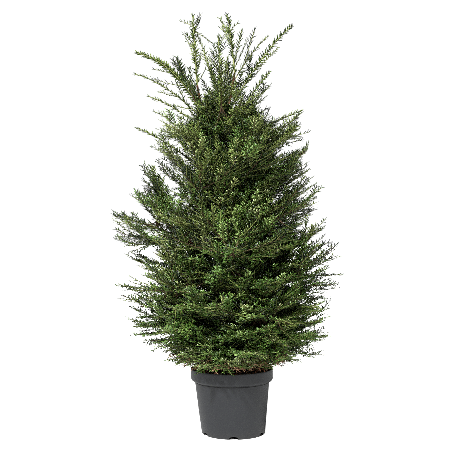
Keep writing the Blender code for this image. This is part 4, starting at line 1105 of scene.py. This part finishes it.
def innerRadius(z):
    p = potSizes
    shoulderLow = p["height"] - p["rimHeight"]
    if z > shoulderLow:
        return mix(p["bodyTop"] - p["wall"], p["rimRadius"] - p["rimWall"] - p["draft"], min((z - shoulderLow) / p["shoulder"], 1)) - 0.0012
    share = (z - p["baseRound"] - p["wall"]) / (shoulderLow - p["baseRound"] - p["wall"])
    return mix(p["base"], p["bodyTop"], share) - p["wall"] - 0.0012


def mulchBed():
    p, m = potSizes, mulchSizes
    edge = innerRadius(m["level"])
    # the bed keeps clear of the drain openings, which look into the dark
    rows = [(0, p["wall"] + 0.0004), (p["base"] - 0.040, p["wall"] + 0.0004), (p["base"] - 0.012, 0.016)]
    rows += [(innerRadius(z), z) for z in (0.022, 0.06, 0.12, p["height"] - p["rimHeight"], 0.190)]
    rows.append((edge, m["level"]))
    rows += [(edge * (1 - k / m["rings"]), m["level"] + m["mound"] * math.sin(k / m["rings"] * math.pi / 2)) for k in range(1, m["rings"] + 1)]
    rings = []
    for radius, z in rows:
        shift = p["lean"] * z / p["height"]
        if radius < 1e-6:
            rings.append([Vector((shift, 0, z))])
            continue
        ring = []
        for k in range(m["segments"]):
            angle = math.tau * k / m["segments"]
            spot = Vector((shift + radius * math.cos(angle), radius * math.sin(angle), z))
            if z > m["level"]:
                spot.z += m["rough"] * (noise.noise(spot * 90) + 0.5 * noise.noise(spot * 240))
            ring.append(spot)
        rings.append(ring)
    return fromRings("mulch_bed", rings, mulchFinish("composted bark", "#20150E", "#4A2E1E", 240.0))


def chipBody():
    block = bmesh.new()
    bmesh.ops.create_icosphere(block, subdivisions=1, radius=0.5)
    dice = random.Random(5)
    for vert in block.verts:
        vert.co = Vector((vert.co.x, vert.co.y * 0.55, vert.co.z * 0.26)) * dice.uniform(0.8, 1.25)
    mesh = bpy.data.meshes.new("chipBody")
    block.to_mesh(mesh)
    block.free()
    return placed("chipBody", mesh)


def scatterTree(name, tilt):  # bits strewn over the bed's top, none so near the wall that it would stick through
    tree, given = openTree(name, ("Part", "Density", "Smallest", "Largest", "Seed"))
    place = node(tree, "GeometryNodeInputPosition")
    split = node(tree, "ShaderNodeSeparateXYZ", _0=place.outputs[0])
    onTop = node(tree, "FunctionNodeCompare", {"operation": "GREATER_THAN"}, _0=split.outputs[2], _1=mulchSizes["level"] - 0.002)
    strewn = node(tree, "GeometryNodeDistributePointsOnFaces", Mesh=given["Geometry"], Selection=onTop.outputs[0], Density=given["Density"], Seed=given["Seed"])
    middle = (potSizes["lean"] * mulchSizes["level"] / potSizes["height"], 0, mulchSizes["level"])
    away = node(tree, "ShaderNodeVectorMath", {"operation": "DISTANCE"}, _0=place.outputs[0], _1=middle)
    room = node(tree, "ShaderNodeMath", {"operation": "MULTIPLY_ADD"}, _0=given["Largest"], _1=-0.62, _2=innerRadius(mulchSizes["level"]))
    outside = node(tree, "FunctionNodeCompare", {"operation": "GREATER_THAN"}, _0=away.outputs["Value"], _1=room.outputs[0])
    spots = node(tree, "GeometryNodeDeleteGeometry", {"domain": "POINT"}, Geometry=strewn.outputs["Points"], Selection=outside.outputs[0])
    angles = node(tree, "FunctionNodeRandomValue", {"data_type": "FLOAT_VECTOR"}, _0=(-tilt, -tilt, 0), _1=(tilt, tilt, math.tau), Seed=given["Seed"])
    turned = node(tree, "FunctionNodeEulerToRotation", _0=angles.outputs[0])
    sizes = node(tree, "FunctionNodeRandomValue", {"data_type": "FLOAT"}, _2=given["Smallest"], _3=given["Largest"], Seed=given["Seed"])
    part = node(tree, "GeometryNodeObjectInfo", Object=given["Part"])
    bits = node(tree, "GeometryNodeInstanceOnPoints", Points=spots.outputs[0], Instance=part.outputs["Geometry"], Rotation=turned.outputs[0], Scale=sizes.outputs[1])
    closeTree(tree, bits.outputs[0], given["Finish"])
    return tree


bed = mulchBed()
chip = chipBody()
fallen = needleBody()
fallen.data.transform(Matrix.Diagonal((1.0, 0.16, 0.16, 1.0)) @ Matrix.Translation((-0.5, 0, 0)))
scattered = (
    ("mulch_chips", chip, 0.5, chipSizes, mulchFinish("pine bark chips", "#3B2216", "#94603E", 120.0)),
    ("mulch_litter", fallen, 0.35, litterSizes, mulchFinish("fallen needles", "#9A6444", "#E0BC9C", 200.0)),
)
for name, part, tilt, sizes, finish in scattered:
    piece = placed(name, bed.data.copy())
    grown(piece, scatterTree(name, tilt), finish, dict(sizes, Part=part))
    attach(piece, "root")
    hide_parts("compost")
    print(name, len(piece.data.polygons), "faces")
for part in (chip, fallen):
    bpy.data.objects.remove(part)
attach(bed, "root")
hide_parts("compost")
